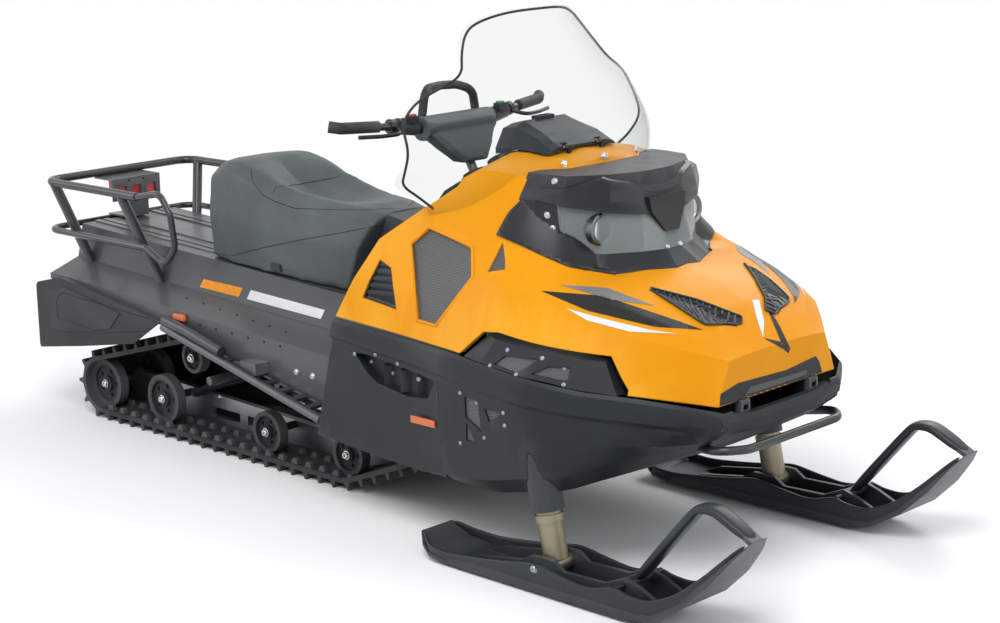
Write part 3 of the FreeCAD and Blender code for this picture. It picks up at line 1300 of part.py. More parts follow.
tunnel = make_tunnel()
doc.recompute()
make_track()
make_skid()
make_running_boards()
rear_reflectors = make_rear()
make_hitch()
make_rack()
make_seat()
seat_shape = pieces[-1].Shape.copy()
seat_shape.translate(Vector(1, 0, 0))
make_side_panels()
make_hull()
make_engine_bay()
make_hood()
make_box()
make_headlight()
make_windshield()
make_steering()
make_skis()
make_front()
make_small_pieces(rear_reflectors)

doc.recompute()
for item in doc.Objects:
    if any(word in item.State for word in ("Invalid", "Error")):
        raise RuntimeError(f"{item.Label} failed: {item.State}")
for piece in pieces:
    shape = piece.Shape
    if shape.isNull() or not shape.isValid() or not shape.Solids:
        raise RuntimeError(f"{piece.Label} has no valid solid")
    shape.exportStep(f"parts/{piece.Label}.step")
    box_of = shape.BoundBox
    print(f"{piece.Label}: {len(shape.Solids)} solids, {shape.Volume / 1e6:.2f} litres,",
          f"x {box_of.XMin:.0f}..{box_of.XMax:.0f}, y {box_of.YMin:.0f}..{box_of.YMax:.0f},",
          f"z {box_of.ZMin:.0f}..{box_of.ZMax:.0f}")
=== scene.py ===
"""Looks of the snowmobile: materials, fine parts, floor, lights and camera."""
import math

import bmesh
import bpy
from mathutils import Matrix, Vector
from mathutils.bvhtree import BVHTree


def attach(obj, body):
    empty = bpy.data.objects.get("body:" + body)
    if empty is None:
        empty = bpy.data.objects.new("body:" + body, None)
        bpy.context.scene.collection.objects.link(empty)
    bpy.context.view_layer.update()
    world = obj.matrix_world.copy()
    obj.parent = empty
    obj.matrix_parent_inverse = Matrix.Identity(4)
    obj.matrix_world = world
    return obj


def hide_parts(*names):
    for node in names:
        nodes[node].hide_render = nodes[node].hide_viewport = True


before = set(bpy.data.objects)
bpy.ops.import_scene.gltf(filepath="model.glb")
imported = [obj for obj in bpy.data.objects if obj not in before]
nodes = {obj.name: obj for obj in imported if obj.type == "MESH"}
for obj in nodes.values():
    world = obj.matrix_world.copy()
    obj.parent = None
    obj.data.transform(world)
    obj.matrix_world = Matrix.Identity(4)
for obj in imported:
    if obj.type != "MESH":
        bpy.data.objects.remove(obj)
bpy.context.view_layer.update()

# The photograph's frame in pixels, and the camera that took it
PHOTO_WIDE, PHOTO_HIGH = 1000, 623
CAMERA_PLACE = (4.5169, -4.3848, 1.9731)
CAMERA_YAW, CAMERA_PITCH, CAMERA_ROLL = 134.0117, 13.0171, -1.0661
CAMERA_LENS, CAMERA_SENSOR = 76.01, 36
# Middle of the handlebar, up the steering column from its foot
BAR_MIDDLE = Vector((0.208, 0, 0.936)) + Vector((-0.5, 0, 0.866)).normalized() * 0.195
SIDES = {"right": -1, "left": 1}
# Corners nearer than this are one corner
WELD = 0.00002
# The floor as the camera sees it, and where its shadow fades
FLOOR_SEEN = (1.12, 1.13, 1.13)
SHADOW_ENDS = (1.7, 3.6)
LAMPS = (
    ("key_light", (2.2, -3.6, 5.2), (0.1, 0, 0.5), 3.5, 190),
    ("fill_light", (-4.8, -3.6, 3.2), (-0.4, 0, 0.5), 3.5, 70),
    ("rim_light", (-0.5, 4.6, 4.2), (0.2, 0, 0.6), 3.0, 100),
    ("front_light", (5.2, 1.5, 2.6), (0.8, 0, 0.6), 2.5, 40),
)


def add_node(tree, kind, inputs=None, **settings):
    """A node with its settings and inputs; an input is a value or another node's output."""
    item = tree.nodes.new(kind)
    for name, value in settings.items():
        setattr(item, name, value)
    for name, value in (inputs or {}).items():
        if isinstance(value, bpy.types.NodeSocket):
            tree.links.new(value, item.inputs[name])
        else:
            item.inputs[name].default_value = value
    return item


def modified(item, name, kind, **settings):
    """Adds a modifier with its settings."""
    modifier = item.modifiers.new(name, kind)
    for key, value in settings.items():
        setattr(modifier, key, value)
    return modifier


# Camera, floor and light
def make_camera():
    """The photograph's viewpoint, from the object's front right."""
    yaw, pitch, roll = (math.radians(angle) for angle in (CAMERA_YAW, CAMERA_PITCH, CAMERA_ROLL))
    look = Vector((math.cos(yaw) * math.cos(pitch), math.sin(yaw) * math.cos(pitch), -math.sin(pitch)))
    flat = Vector((math.sin(yaw), -math.cos(yaw), 0))
    upright = flat.cross(look)
    right = flat * math.cos(roll) + upright * math.sin(roll)
    up = upright * math.cos(roll) - flat * math.sin(roll)
    camera = bpy.data.objects.new("camera", bpy.data.cameras.new("camera"))
    camera.data.sensor_width = CAMERA_SENSOR
    camera.data.lens = CAMERA_LENS
    turned = Matrix((right, up, -look)).transposed().to_4x4()
    camera.matrix_world = Matrix.Translation(CAMERA_PLACE) @ turned
    bpy.context.collection.objects.link(camera)
    bpy.context.scene.camera = camera


def area_light(name, place, aim, wide, power):
    lamp = bpy.data.lights.new(name, "AREA")
    lamp.shape = "DISK"
    lamp.size = wide
    lamp.energy = power
    item = bpy.data.objects.new(name, lamp)
    item.location = place
    item.rotation_euler = (Vector(aim) - Vector(place)).to_track_quat("-Z", "Y").to_euler()
    bpy.context.collection.objects.link(item)


def camera_sight(tree):
    """1 for the rays that show a background: camera, glass and glossy rays."""
    path = add_node(tree, "ShaderNodeLightPath")
    either = path.outputs["Is Camera Ray"]
    for name in ("Is Transmission Ray", "Is Glossy Ray"):
        larger = add_node(tree, "ShaderNodeMath", {0: either, 1: path.outputs[name]}, operation="MAXIMUM")
        either = larger.outputs[0]
    return either


def floor_paint():
    """Pale matt floor that keeps the shadow near the object and is plain white farther out."""
    paint = Shade("floor_paint", (0.8, 0.81, 0.81), 0.7, specular=0.0)
    pale = paint.node("ShaderNodeBsdfDiffuse", {"Color": (*FLOOR_SEEN, 1)})
    white = paint.node("ShaderNodeEmission", {"Strength": 1.0})
    length = paint.node("ShaderNodeVectorMath", {0: paint.place}, operation="LENGTH").outputs["Value"]
    stops = {"From Min": SHADOW_ENDS[0], "From Max": SHADOW_ENDS[1], "Value": length}
    far = paint.node("ShaderNodeMapRange", stops, interpolation_type="SMOOTHSTEP").outputs["Result"]
    paint.show(paint.mixed(camera_sight(paint.tree), paint.shader, paint.mixed(far, pale, white)))
    return paint.material


def make_stage():
    """A pale floor, soft lamps and an even world that looks white where it is seen."""
    mesh = bpy.data.meshes.new("floor")
    mesh.from_pydata([(-60, -60, 0), (60, -60, 0), (60, 60, 0), (-60, 60, 0)], [], [(0, 1, 2, 3)])
    floor = bpy.data.objects.new("floor", mesh)
    bpy.context.collection.objects.link(floor)
    mesh.materials.append(floor_paint())
    world = bpy.data.worlds.new("studio")
    bpy.context.scene.world = world
    world.use_nodes = True
    tree = world.node_tree
    background = tree.nodes["Background"]
    background.inputs["Color"].default_value = (0.95, 0.98, 1.0, 1)
    background.inputs["Strength"].default_value = 0.5
    white = add_node(tree, "ShaderNodeBackground", {"Color": (1, 1, 1, 1), "Strength": 1.0})
    mix = add_node(tree, "ShaderNodeMixShader",
                   {0: camera_sight(tree), 1: background.outputs[0], 2: white.outputs[0]})
    tree.links.new(mix.outputs[0], tree.nodes["World Output"].inputs["Surface"])
    for lamp in LAMPS:
        area_light(*lamp)


# Materials
class Shade:
    """Builds one procedural material on object coordinates."""

    def __init__(self, name, base, rough, metallic=0.0, coat=0.0, specular=0.5):
        self.material = bpy.data.materials.new(name)
        self.material.use_nodes = True
        self.tree = self.material.node_tree
        self.shader = self.tree.nodes["Principled BSDF"]
        self.base = base
        for socket, value in (("Base Color", (*base, 1)), ("Roughness", rough), ("Metallic", metallic),
                              ("Specular IOR Level", specular), ("Coat Weight", coat), ("Coat Roughness", 0.06)):
            self.shader.inputs[socket].default_value = value
        self.place = self.node("ShaderNodeTexCoord").outputs["Object"]

    def node(self, kind, inputs=None, **settings):
        return add_node(self.tree, kind, inputs, **settings)

    def feed(self, value, socket):
        self.tree.links.new(value, self.shader.inputs[socket])

    def maths(self, operation, *values):
        inputs = dict(enumerate(values))
        return self.node("ShaderNodeMath", inputs, operation=operation).outputs[0]

    def noise(self, scale, detail=4.0, rough=0.55, stretch=None):
        place = self.place
        if stretch:
            place = self.node("ShaderNodeMapping", {"Scale": stretch, "Vector": place}).outputs["Vector"]
        inputs = {"Scale": scale, "Detail": detail, "Roughness": rough, "Vector": place}
        return self.node("ShaderNodeTexNoise", inputs).outputs["Fac"]

    def cells(self, scale, feature="DISTANCE_TO_EDGE"):
        inputs = {"Scale": scale, "Vector": self.place}
        return self.node("ShaderNodeTexVoronoi", inputs, feature=feature).outputs["Distance"]

    def ramp(self, value, low, high):
        """Maps a value between two stops to 0 and 1."""
        return self.node("ShaderNodeMapRange", {"From Min": low, "From Max": high, "Value": value}).outputs["Result"]

    def tint(self, value, other):
        """Mixes the colour so far with another one by a value."""
        held = self.shader.inputs["Base Color"]
        first = held.links[0].from_socket if held.is_linked else (*self.base, 1)
        mix = self.node("ShaderNodeMix", {"Factor": value, "A": first, "B": (*other, 1)}, data_type="RGBA")
        self.feed(mix.outputs["Result"], "Base Color")

    def roughen(self, value, low, high):
        item = self.node("ShaderNodeMapRange", {"To Min": low, "To Max": high, "Value": value})
        self.feed(item.outputs["Result"], "Roughness")

    def bump(self, value, distance, strength=1.0):
        inputs = {"Distance": distance, "Strength": strength, "Height": value}
        held = self.shader.inputs["Normal"]
        if held.is_linked:
            inputs["Normal"] = held.links[0].from_socket
        self.feed(self.node("ShaderNodeBump", inputs).outputs["Normal"], "Normal")

    def soft_edges(self, radius):
        item = self.node("ShaderNodeBevel", {"Radius": radius}, samples=4)
        self.feed(item.outputs["Normal"], "Normal")

    def mixed(self, share, first, second):
        return self.node("ShaderNodeMixShader", {0: share, 1: first.outputs[0], 2: second.outputs[0]})

    def show(self, shader):
        """Shows another shader in place of the plain one."""
        self.tree.links.new(shader.outputs[0], self.tree.nodes["Material Output"].inputs["Surface"])

    def painted_edge_highlight(self, other):
        """Painted edge highlight: a paler colour where the surface turns a sharp outer corner."""
        geometry = self.node("ShaderNodeNewGeometry")
        self.tint(self.ramp(geometry.outputs["Pointiness"], 0.54, 0.7), other)


# The last colour is a painted highlight on sharp outer edges
def plastic(name, base, rough, grain, depth, edge_highlight=(0.12, 0.125, 0.13)):
    shade = Shade(name, base, rough, specular=0.3)
    shade.soft_edges(0.0018)
    shade.bump(shade.noise(grain, 2.0), depth, 0.5)
    shade.tint(shade.ramp(shade.noise(3.5, 5.0), 0.45, 0.75), tuple(c * 1.35 + 0.004 for c in base))
    shade.roughen(shade.noise(14, 4.0), rough - 0.09, rough + 0.1)
    shade.painted_edge_highlight(edge_highlight)
    return shade.material


def painted_metal(name, base, rough):
    shade = Shade(name, base, rough, coat=0.15)
    shade.soft_edges(0.0012)
    shade.bump(shade.noise(420, 2.0), 0.00008, 0.5)
    shade.tint(shade.ramp(shade.noise(5, 6.0), 0.5, 0.8), tuple(c * 1.5 + 0.005 for c in base))
    shade.roughen(shade.noise(22, 3.0), rough - 0.08, rough + 0.12)
    shade.painted_edge_highlight((0.16, 0.165, 0.17))
    return shade.material


def bare_metal(name, base, rough, stretch=(4, 60, 60)):
    shade = Shade(name, base, rough, metallic=1.0)
    shade.soft_edges(0.001)
    brushed = shade.noise(60, 6.0, 0.7, stretch)
    shade.bump(brushed, 0.00006, 0.35)
    shade.tint(shade.ramp(shade.noise(9, 4.0), 0.4, 0.75), tuple(c * 0.78 for c in base))
    shade.roughen(brushed, rough - 0.08, rough + 0.14)
    return shade.material


def rubber(name, base, rough=0.7):
    shade = Shade(name, base, rough, specular=0.35)
    shade.soft_edges(0.002)
    shade.bump(shade.noise(260, 3.0), 0.0003, 0.6)
    shade.tint(shade.ramp(shade.noise(7, 6.0), 0.45, 0.8), (0.075, 0.077, 0.08))
    shade.roughen(shade.noise(30, 4.0), rough - 0.14, rough + 0.1)
    shade.painted_edge_highlight((0.11, 0.112, 0.115))
    return shade.material


def shell_paint():
    """Orange-yellow moulding with faint orange peel and a little dust."""
    shade = Shade("shell_paint", (0.84, 0.315, 0.006), 0.36, specular=0.1)
    shade.soft_edges(0.0045)
    shade.bump(shade.noise(120, 2.0), 0.00012, 0.25)
    shade.tint(shade.ramp(shade.noise(2.2, 3.0), 0.35, 0.8), (0.90, 0.375, 0.008))
    shade.tint(shade.ramp(shade.noise(600, 2.0), 0.72, 0.8), (0.78, 0.27, 0.01))
    shade.roughen(shade.noise(11, 5.0), 0.3, 0.42)
    # Painted highlight: brighter orange on the shell's sharp edges
    shade.painted_edge_highlight((1.0, 0.5, 0.05))
    return shade.material


def vinyl():
    """Grained dark seat cover."""
    shade = Shade("seat_vinyl", (0.068, 0.079, 0.083), 0.5, specular=0.4)
    shade.bump(shade.cells(420), 0.0005, 0.55)
    shade.bump(shade.noise(48, 4.0), 0.0012, 0.25)
    shade.tint(shade.ramp(shade.noise(4, 4.0), 0.4, 0.75), (0.1, 0.12, 0.126))
    shade.roughen(shade.noise(60, 3.0), 0.42, 0.6)
    return shade.material


def mesh_plate():
    """Fine moulded grille: round holes in staggered rows along the vehicle, painted near-black as shade."""
    pitch, hole = 0.0066, 0.36
    shade = Shade("grille_mesh", (0.17, 0.175, 0.178), 0.45)
    split = shade.node("ShaderNodeSeparateXYZ", {0: shade.place})
    up = shade.maths("SUBTRACT", split.outputs["Z"], shade.maths("ABSOLUTE", split.outputs["Y"]))
    row = shade.maths("DIVIDE", up, pitch * 0.866)
    shift = shade.maths("MULTIPLY", shade.maths("MODULO", shade.maths("FLOOR", row), 2), 0.5)
    column = shade.maths("ADD", shade.maths("DIVIDE", split.outputs["X"], pitch), shift)
    offsets = [shade.maths("SUBTRACT", shade.maths("FRACT", value), 0.5) for value in (column, row)]
    squares = [shade.maths("MULTIPLY", value, value) for value in offsets]
    reach = shade.maths("SQRT", shade.maths("ADD", *squares))
    # Painted shade: the holes are tinted near-black, as the shade seen through them
    shade.tint(shade.ramp(reach, hole + 0.05, hole - 0.03), (0.006, 0.006, 0.007))
    shade.bump(shade.ramp(reach, hole - 0.05, hole + 0.08), 0.0012, 0.8)
    shade.roughen(shade.noise(40, 3.0), 0.36, 0.6)
    return shade.material


def clear(name, base, rough, weight, tint):
    """Clear plastic: mostly see-through, with a cast of its own and gloss at its edges."""
    shade = Shade(name, base, rough)
    shade.bump(shade.noise(18, 2.0), 0.0002, 0.06)
    shade.roughen(shade.noise(40, 4.0), rough, rough + 0.05)
    see_through = shade.node("ShaderNodeBsdfTransparent", {"Color": (*tint, 1)})
    angle = shade.node("ShaderNodeLayerWeight", {"Blend": 0.5})
    share = shade.maths("MULTIPLY", shade.maths("POWER", angle.outputs["Facing"], 4), 0.45)
    shade.show(shade.mixed(shade.maths("ADD", share, 1 - weight), see_through, shade.shader))
    return shade.material


def prism_lens(name, base):
    """Moulded reflector with small prisms."""
    shade = Shade(name, base, 0.18, coat=0.6)
    prisms = shade.cells(320, "F1")
    shade.bump(prisms, 0.0008, 0.8)
    shade.tint(shade.ramp(prisms, 0.1, 0.5), tuple(c * 0.7 for c in base))
    shade.roughen(shade.noise(70, 2.0), 0.12, 0.26)
    return shade.material


MATERIALS = {
    "shell": shell_paint(),
    "plastic": plastic("moulded_plastic", (0.0125, 0.017, 0.0195), 0.46, 700, 0.0002, (0.07, 0.075, 0.08)),
    "plastic_smooth": plastic("smooth_plastic", (0.0145, 0.0175, 0.0195), 0.36, 260, 0.00006, (0.07, 0.075, 0.08)),
    "ski_plastic": plastic("ski_plastic", (0.026, 0.032, 0.036), 0.36, 300, 0.0001, (0.1, 0.105, 0.11)),
    # Vent ribs: a paler copy of the dark plastic, as painted highlight on their lit tops
    "rib_painted_highlight": plastic("rib_painted_highlight", (0.075, 0.088, 0.094), 0.38, 300, 0.00006, (0.16, 0.17, 0.18)),
    "lamp_shell": bare_metal("lamp_shell", (0.2, 0.21, 0.215), 0.32, (20, 20, 20)),
    "gloss_black": plastic("gloss_black", (0.010, 0.012, 0.0135), 0.34, 160, 0.00004, (0.05, 0.05, 0.055)),
    "deck": painted_metal("deck_paint", (0.021, 0.026, 0.029), 0.36),
    "steel": painted_metal("powder_coat", (0.022, 0.024, 0.027), 0.3),
    "alloy": bare_metal("milled_alloy", (0.42, 0.44, 0.46), 0.34),
    "bright": bare_metal("bright_steel", (0.62, 0.63, 0.64), 0.22, (30, 30, 30)),
    "gold": bare_metal("plated_tube", (0.34, 0.30, 0.22), 0.46, (60, 60, 4)),
    "chrome": bare_metal("mirror_coat", (0.78, 0.79, 0.8), 0.12, (12, 12, 12)),
    "rubber": rubber("moulded_rubber", (0.017, 0.018, 0.0195)),
    "grip": rubber("grip_rubber", (0.014, 0.0145, 0.0155), 0.62),
    "vinyl": vinyl(),
    "mesh": mesh_plate(),
    "screen": clear("clear_shield", (0.30, 0.32, 0.32), 0.03, 0.995, (0.955, 0.968, 0.966)),
    "lens": clear("clear_lens", (0.44, 0.49, 0.50), 0.04, 0.66, (0.84, 0.87, 0.88)),
    "glass": clear("lamp_glass", (0.30, 0.32, 0.33), 0.02, 0.93, (0.95, 0.96, 0.97)),
    "red": prism_lens("red_lens", (0.62, 0.012, 0.016)),
    "amber": prism_lens("amber_lens", (1.0, 0.19, 0.03)),
    "green": plastic("green_button", (0.01, 0.26, 0.06), 0.3, 300, 0.00006, (0.1, 0.4, 0.15)),
    "red_button": plastic("red_button", (0.5, 0.01, 0.015), 0.3, 300, 0.00006, (0.7, 0.1, 0.1)),
    # The seam lines are real; their near-black colour is painted shade in the grooves
    "seam": rubber("seam_painted_shade", (0.012, 0.013, 0.014), 0.8),
    "decal_black": plastic("stripe_black", (0.012, 0.0125, 0.013), 0.28, 300, 0.00004),
    "decal_white": plastic("stripe_white", (0.78, 0.79, 0.8), 0.3, 300, 0.00004, (0.85, 0.85, 0.85)),
    "decal_grey": plastic("stripe_grey", (0.21, 0.215, 0.22), 0.3, 300, 0.00004, (0.3, 0.3, 0.3)),
    "decal_orange": plastic("stripe_orange", (0.9, 0.3, 0.01), 0.28, 300, 0.00004, (1, 0.5, 0.06)),
}

# Looks of the carried-over nodes; a name that ends in an underscore stands for both sides
LOOK_NODES = {
    "shell": ("hood",),
    "plastic": ("belly_pan", "side_panel_", "side_vent_", "front_bumper", "box_lid", "storage_box",
                "rear_fender", "console", "strut_tube_"),
    "plastic_smooth": ("headlight_housing", "instrument_panel", "switch_pods"),
    "ski_plastic": ("ski_", "ski_handle_"),
    "gloss_black": ("hood_louvres", "headlight_visor", "control_levers"),
    "mesh": ("vent_meshes", "hood_grilles"),
    "lens": ("headlight_lens",), "screen": ("windshield",), "lamp_shell": ("headlamps",),
    "red": ("tail_lamp",), "amber": ("reflectors",),
    "deck": ("tunnel", "running_board_"),
    "steel": ("cargo_rack", "rack_plate", "tow_hitch", "hinge_brackets", "bumper_bar", "front_frame",
              "steering_column", "handlebar", "suspension_arms"),
    "alloy": ("engine_block", "slide_rails", "drive_axle", "ski_runner_"),
    "gold": ("strut_rod_",),
    "rubber": ("track", "rear_wheels", "bogie_wheels", "carrier_wheels"),
    "grip": ("grips", "grab_strap"),
    "vinyl": ("seat", "handlebar_pad"),
}
NODE_LOOKS = {node: look for look, names in LOOK_NODES.items() for node in names}


def smoothing_group():
    """Geometry Nodes: joins split corners and shades faces smooth below a set edge angle."""
    group = bpy.data.node_groups.new("smooth_by_angle", "GeometryNodeTree")
    for way in ("INPUT", "OUTPUT"):
        group.interface.new_socket("Geometry", in_out=way, socket_type="NodeSocketGeometry")
    start = add_node(group, "NodeGroupInput")
    merge = add_node(group, "GeometryNodeMergeByDistance", {"Geometry": start.outputs[0], "Distance": WELD})
    angle = add_node(group, "GeometryNodeInputMeshEdgeAngle").outputs["Unsigned Angle"]
    below = add_node(group, "FunctionNodeCompare", {"A": angle, "B": math.radians(24)},
                     data_type="FLOAT", operation="LESS_THAN")
    faces = add_node(group, "GeometryNodeSetShadeSmooth", {"Geometry": merge.outputs[0]}, domain="FACE")
    edges = add_node(group, "GeometryNodeSetShadeSmooth",
                     {"Geometry": faces.outputs[0], "Shade Smooth": below.outputs["Result"]}, domain="EDGE")
    add_node(group, "NodeGroupOutput", {0: edges.outputs[0]})
    return group


def dress_nodes():
    """Gives every carried-over node its material and smooth shading."""
    group = smoothing_group()
    for name, item in nodes.items():
        keys = [key for key in NODE_LOOKS if name == key or (key.endswith("_") and name.startswith(key))]
        item.data.materials.clear()
        item.data.materials.append(MATERIALS[NODE_LOOKS[max(keys, key=len)]])
        modified(item, "smooth", "NODES", node_group=group)
    # The hood's hinge eyes, at the nose and under the box lid, are dark
    hood = nodes["hood"].data
    hood.materials.append(MATERIALS["plastic_smooth"])
    for polygon in hood.polygons:
        x, y, z = polygon.center
        front_eye = x > 1.275 and abs(abs(y) - 0.15) < 0.02 and z < 0.512 and polygon.area < 0.0002
        lid_eye = 0.6 < x < 0.65 and abs(abs(y) - 0.07) < 0.014 and z > 1.082
        polygon.material_index = int(front_eye or lid_eye)


# Building blocks
def placed(name, data, body, matrix=None):
    """Links a mesh, curve or text as a piece of the object, riding on a body."""
    item = bpy.data.objects.new(name, data)
    if matrix is not None:
        item.matrix_world = matrix
    bpy.context.collection.objects.link(item)
    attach(item, body)
    return item


def piece(name, mesh, look, body, smooth=True):
    """A mesh with its material, shaded smooth up to a set edge angle."""
    mesh.materials.append(MATERIALS[look])
    if smooth:
        for polygon in mesh.polygons:
            polygon.use_smooth = True
        mesh.set_sharp_from_angle(angle=math.radians(32))
    return placed(name, mesh, body)


def from_bmesh(name, work, look, body, smooth=True):
    mesh = bpy.data.meshes.new(name)
    work.to_mesh(mesh)
    work.free()
    return piece(name, mesh, look, body, smooth)


def turned_to(normal):
    return Vector(normal).to_track_quat("Z", "Y").to_matrix().to_4x4()


def skin(work, rows):
    """Joins closed rows of vertices with faces; the last row may be one vertex."""
    for low, up in zip(rows, rows[1:]):
        for step in range(len(low)):
            after = (step + 1) % len(low)
            top = (up[0],) if len(up) == 1 else (up[after], up[step])
            work.faces.new((low[step], low[after], *top))


def revolved(work, turn, profile, count, six_sided=()):
    """A skin turned about an axis from rows of radius and height; the listed rows are six-sided."""
    rows = []
    for index, (radius, high) in enumerate(profile):
        row = []
        for step in range(count if radius else 1):
            angle = 2 * math.pi * step / count
            reach = radius
            if index in six_sided:
                reach *= math.cos(math.pi / 6) / math.cos((angle % (math.pi / 3)) - math.pi / 6)
            row.append(work.verts.new(turn @ Vector((reach * math.cos(angle), reach * math.sin(angle), high))))
        rows.append(row)
    skin(work, rows)


# A fastener's head with its washer rim, and its socket or dome, as shares of radius and height
HEAD = ((1.25, 0.0), (1.25, 0.18), (1.0, 0.22), (1.0, 0.75), (0.86, 1.0))
SOCKET = ((0.5, 1.0), (0.46, 0.55), (0.0, 0.5))
DOME = ((0.45, 1.12), (0.0, 1.16))


def bolts(name, spots, look, body, radius, high, socket=True):
    """Many fasteners in one mesh; each spot is a place and a normal."""
    work = bmesh.new()
    profile = [(radius * share, high * rise) for share, rise in HEAD + (SOCKET if socket else DOME)]
    for place, normal in spots:
        turn = Matrix.Translation(place) @ turned_to(normal)
        revolved(work, turn, profile, 18, (5, 6) if socket else ())
    return from_bmesh(name, work, look, body)


def bolt_pair(name, spots, look, body, radius, high, socket=True):
    """Fasteners on the right side, and the same on the left side."""
    bolts(name + "_right", spots, look, body, radius, high, socket)
    bolts(name + "_left", [(mirror(place), mirror(normal)) for place, normal in spots], look,
          body.replace("right", "left"), radius, high, socket)


def bar(name, points, radius, look, body, cyclic=False, kind="NURBS"):
    """A round bar or trim on a smooth curve, or on straight runs."""
    curve = bpy.data.curves.new(name, "CURVE")
    curve.dimensions = "3D"
    curve.bevel_depth = radius
    curve.bevel_resolution = 4
    curve.use_fill_caps = True
    spline = curve.splines.new(kind)
    spline.points.add(len(points) - 1)
    for point, place in zip(spline.points, points):
        point.co = (*place, 1)
    if kind == "NURBS":
        spline.order_u = 3
        spline.use_endpoint_u = True
    spline.use_cyclic_u = cyclic
    curve.materials.append(MATERIALS[look])
    return placed(name, curve, body)


def tree_of(*meshes):
    """A search tree over meshes."""
    vertices, faces = [], []
    for mesh in meshes:
        base = len(vertices)
        vertices += [vertex.co.copy() for vertex in mesh.vertices]
        faces += [[base + index for index in polygon.vertices] for polygon in mesh.polygons]
    return BVHTree.FromPolygons(vertices, faces)


def surface_of(*names):
    """A search tree over CAD nodes at rest."""
    return tree_of(*(nodes[name].data for name in names))


def touch(tree, start, direction):
    place, normal, index, distance = tree.ray_cast(Vector(start), Vector(direction).normalized())
    if place is not None and normal.dot(Vector(direction)) > 0:
        normal = -normal
    return place, normal


# Places seen in the photograph
def seen(px, py, tree):
    """Where the photograph's line of sight through a pixel meets a surface."""
    camera = bpy.context.scene.camera
    focal = CAMERA_LENS / CAMERA_SENSOR * PHOTO_WIDE
    for du, dv in ((0, 0), (0.2, 0.1), (-0.2, 0.15), (0.1, -0.3)):
        aim = Vector(((px + du - PHOTO_WIDE / 2) / focal, (PHOTO_HIGH / 2 - py - dv) / focal, -1))
        place, normal = touch(tree, camera.matrix_world.translation, camera.matrix_world.to_3x3() @ aim)
        if place is not None:
            break
    return place, normal


def mirror(vector):
    return Vector((vector[0], -vector[1], vector[2]))


def hits(pixels, tree):
    """Places and normals of a surface at pixels of the photograph."""
    found = [seen(px, py, tree) for px, py in pixels]
    return [(place, normal) for place, normal in found if place is not None]


def bolts_seen(name, pixels, tree, look, body, radius, high, socket=True):
    """Fasteners at pixels of the photograph, and the same on the other side."""
    bolt_pair(name, hits(pixels, tree), look, body, radius, high, socket)


def film_seen(name, outline, tree, look, body, both=True, lift=0.001, step=2.0):
    """A thin film on a surface, cut to an outline in the photograph's pixels."""
    work = bmesh.new()
    work.faces.new([work.verts.new((u, v, 0)) for u, v in outline])
    for axis in (0, 1):
        values = [corner[axis] for corner in outline]
        normal = Vector((1 - axis, axis, 0))
        cut = min(values) + step
        while cut < max(values):
            bmesh.ops.bisect_plane(work, geom=work.verts[:] + work.edges[:] + work.faces[:],
                                   plane_co=normal * cut, plane_no=normal)
            cut += step
    lost = []
    for vertex in work.verts:
        place, normal = seen(vertex.co.x, vertex.co.y, tree)
        if place is None:
            lost.append(vertex)
        else:
            vertex.co = place + normal * lift
    bmesh.ops.delete(work, geom=lost, context="VERTS")
    if both:
        other = work.copy()
        for vertex in other.verts:
            vertex.co.y = -vertex.co.y
        from_bmesh(name + "_left", other, look, body)
        name += "_right"
    from_bmesh(name, work, look, body)


def seam_seen(name, pixels, tree, radius=0.0014):
    """A sewn line or groove on both sides that follows a surface along the photograph's pixels, near-black as
    painted shade in the groove.
    """
    path = []
    for (u0, v0), (u1, v1) in zip(pixels, pixels[1:]):
        steps = max(1, int(math.hypot(u1 - u0, v1 - v0) / 4))
        shares = [step / steps for step in range(steps)]
        path += [(u0 + (u1 - u0) * share, v0 + (v1 - v0) * share) for share in shares]
    points = [place - normal * 0.0004 for place, normal in hits(path + [pixels[-1]], tree)]
    bar(name + "_left", [mirror(point) for point in points], radius, "seam", "root")
    bar(name + "_right", points, radius, "seam", "root")


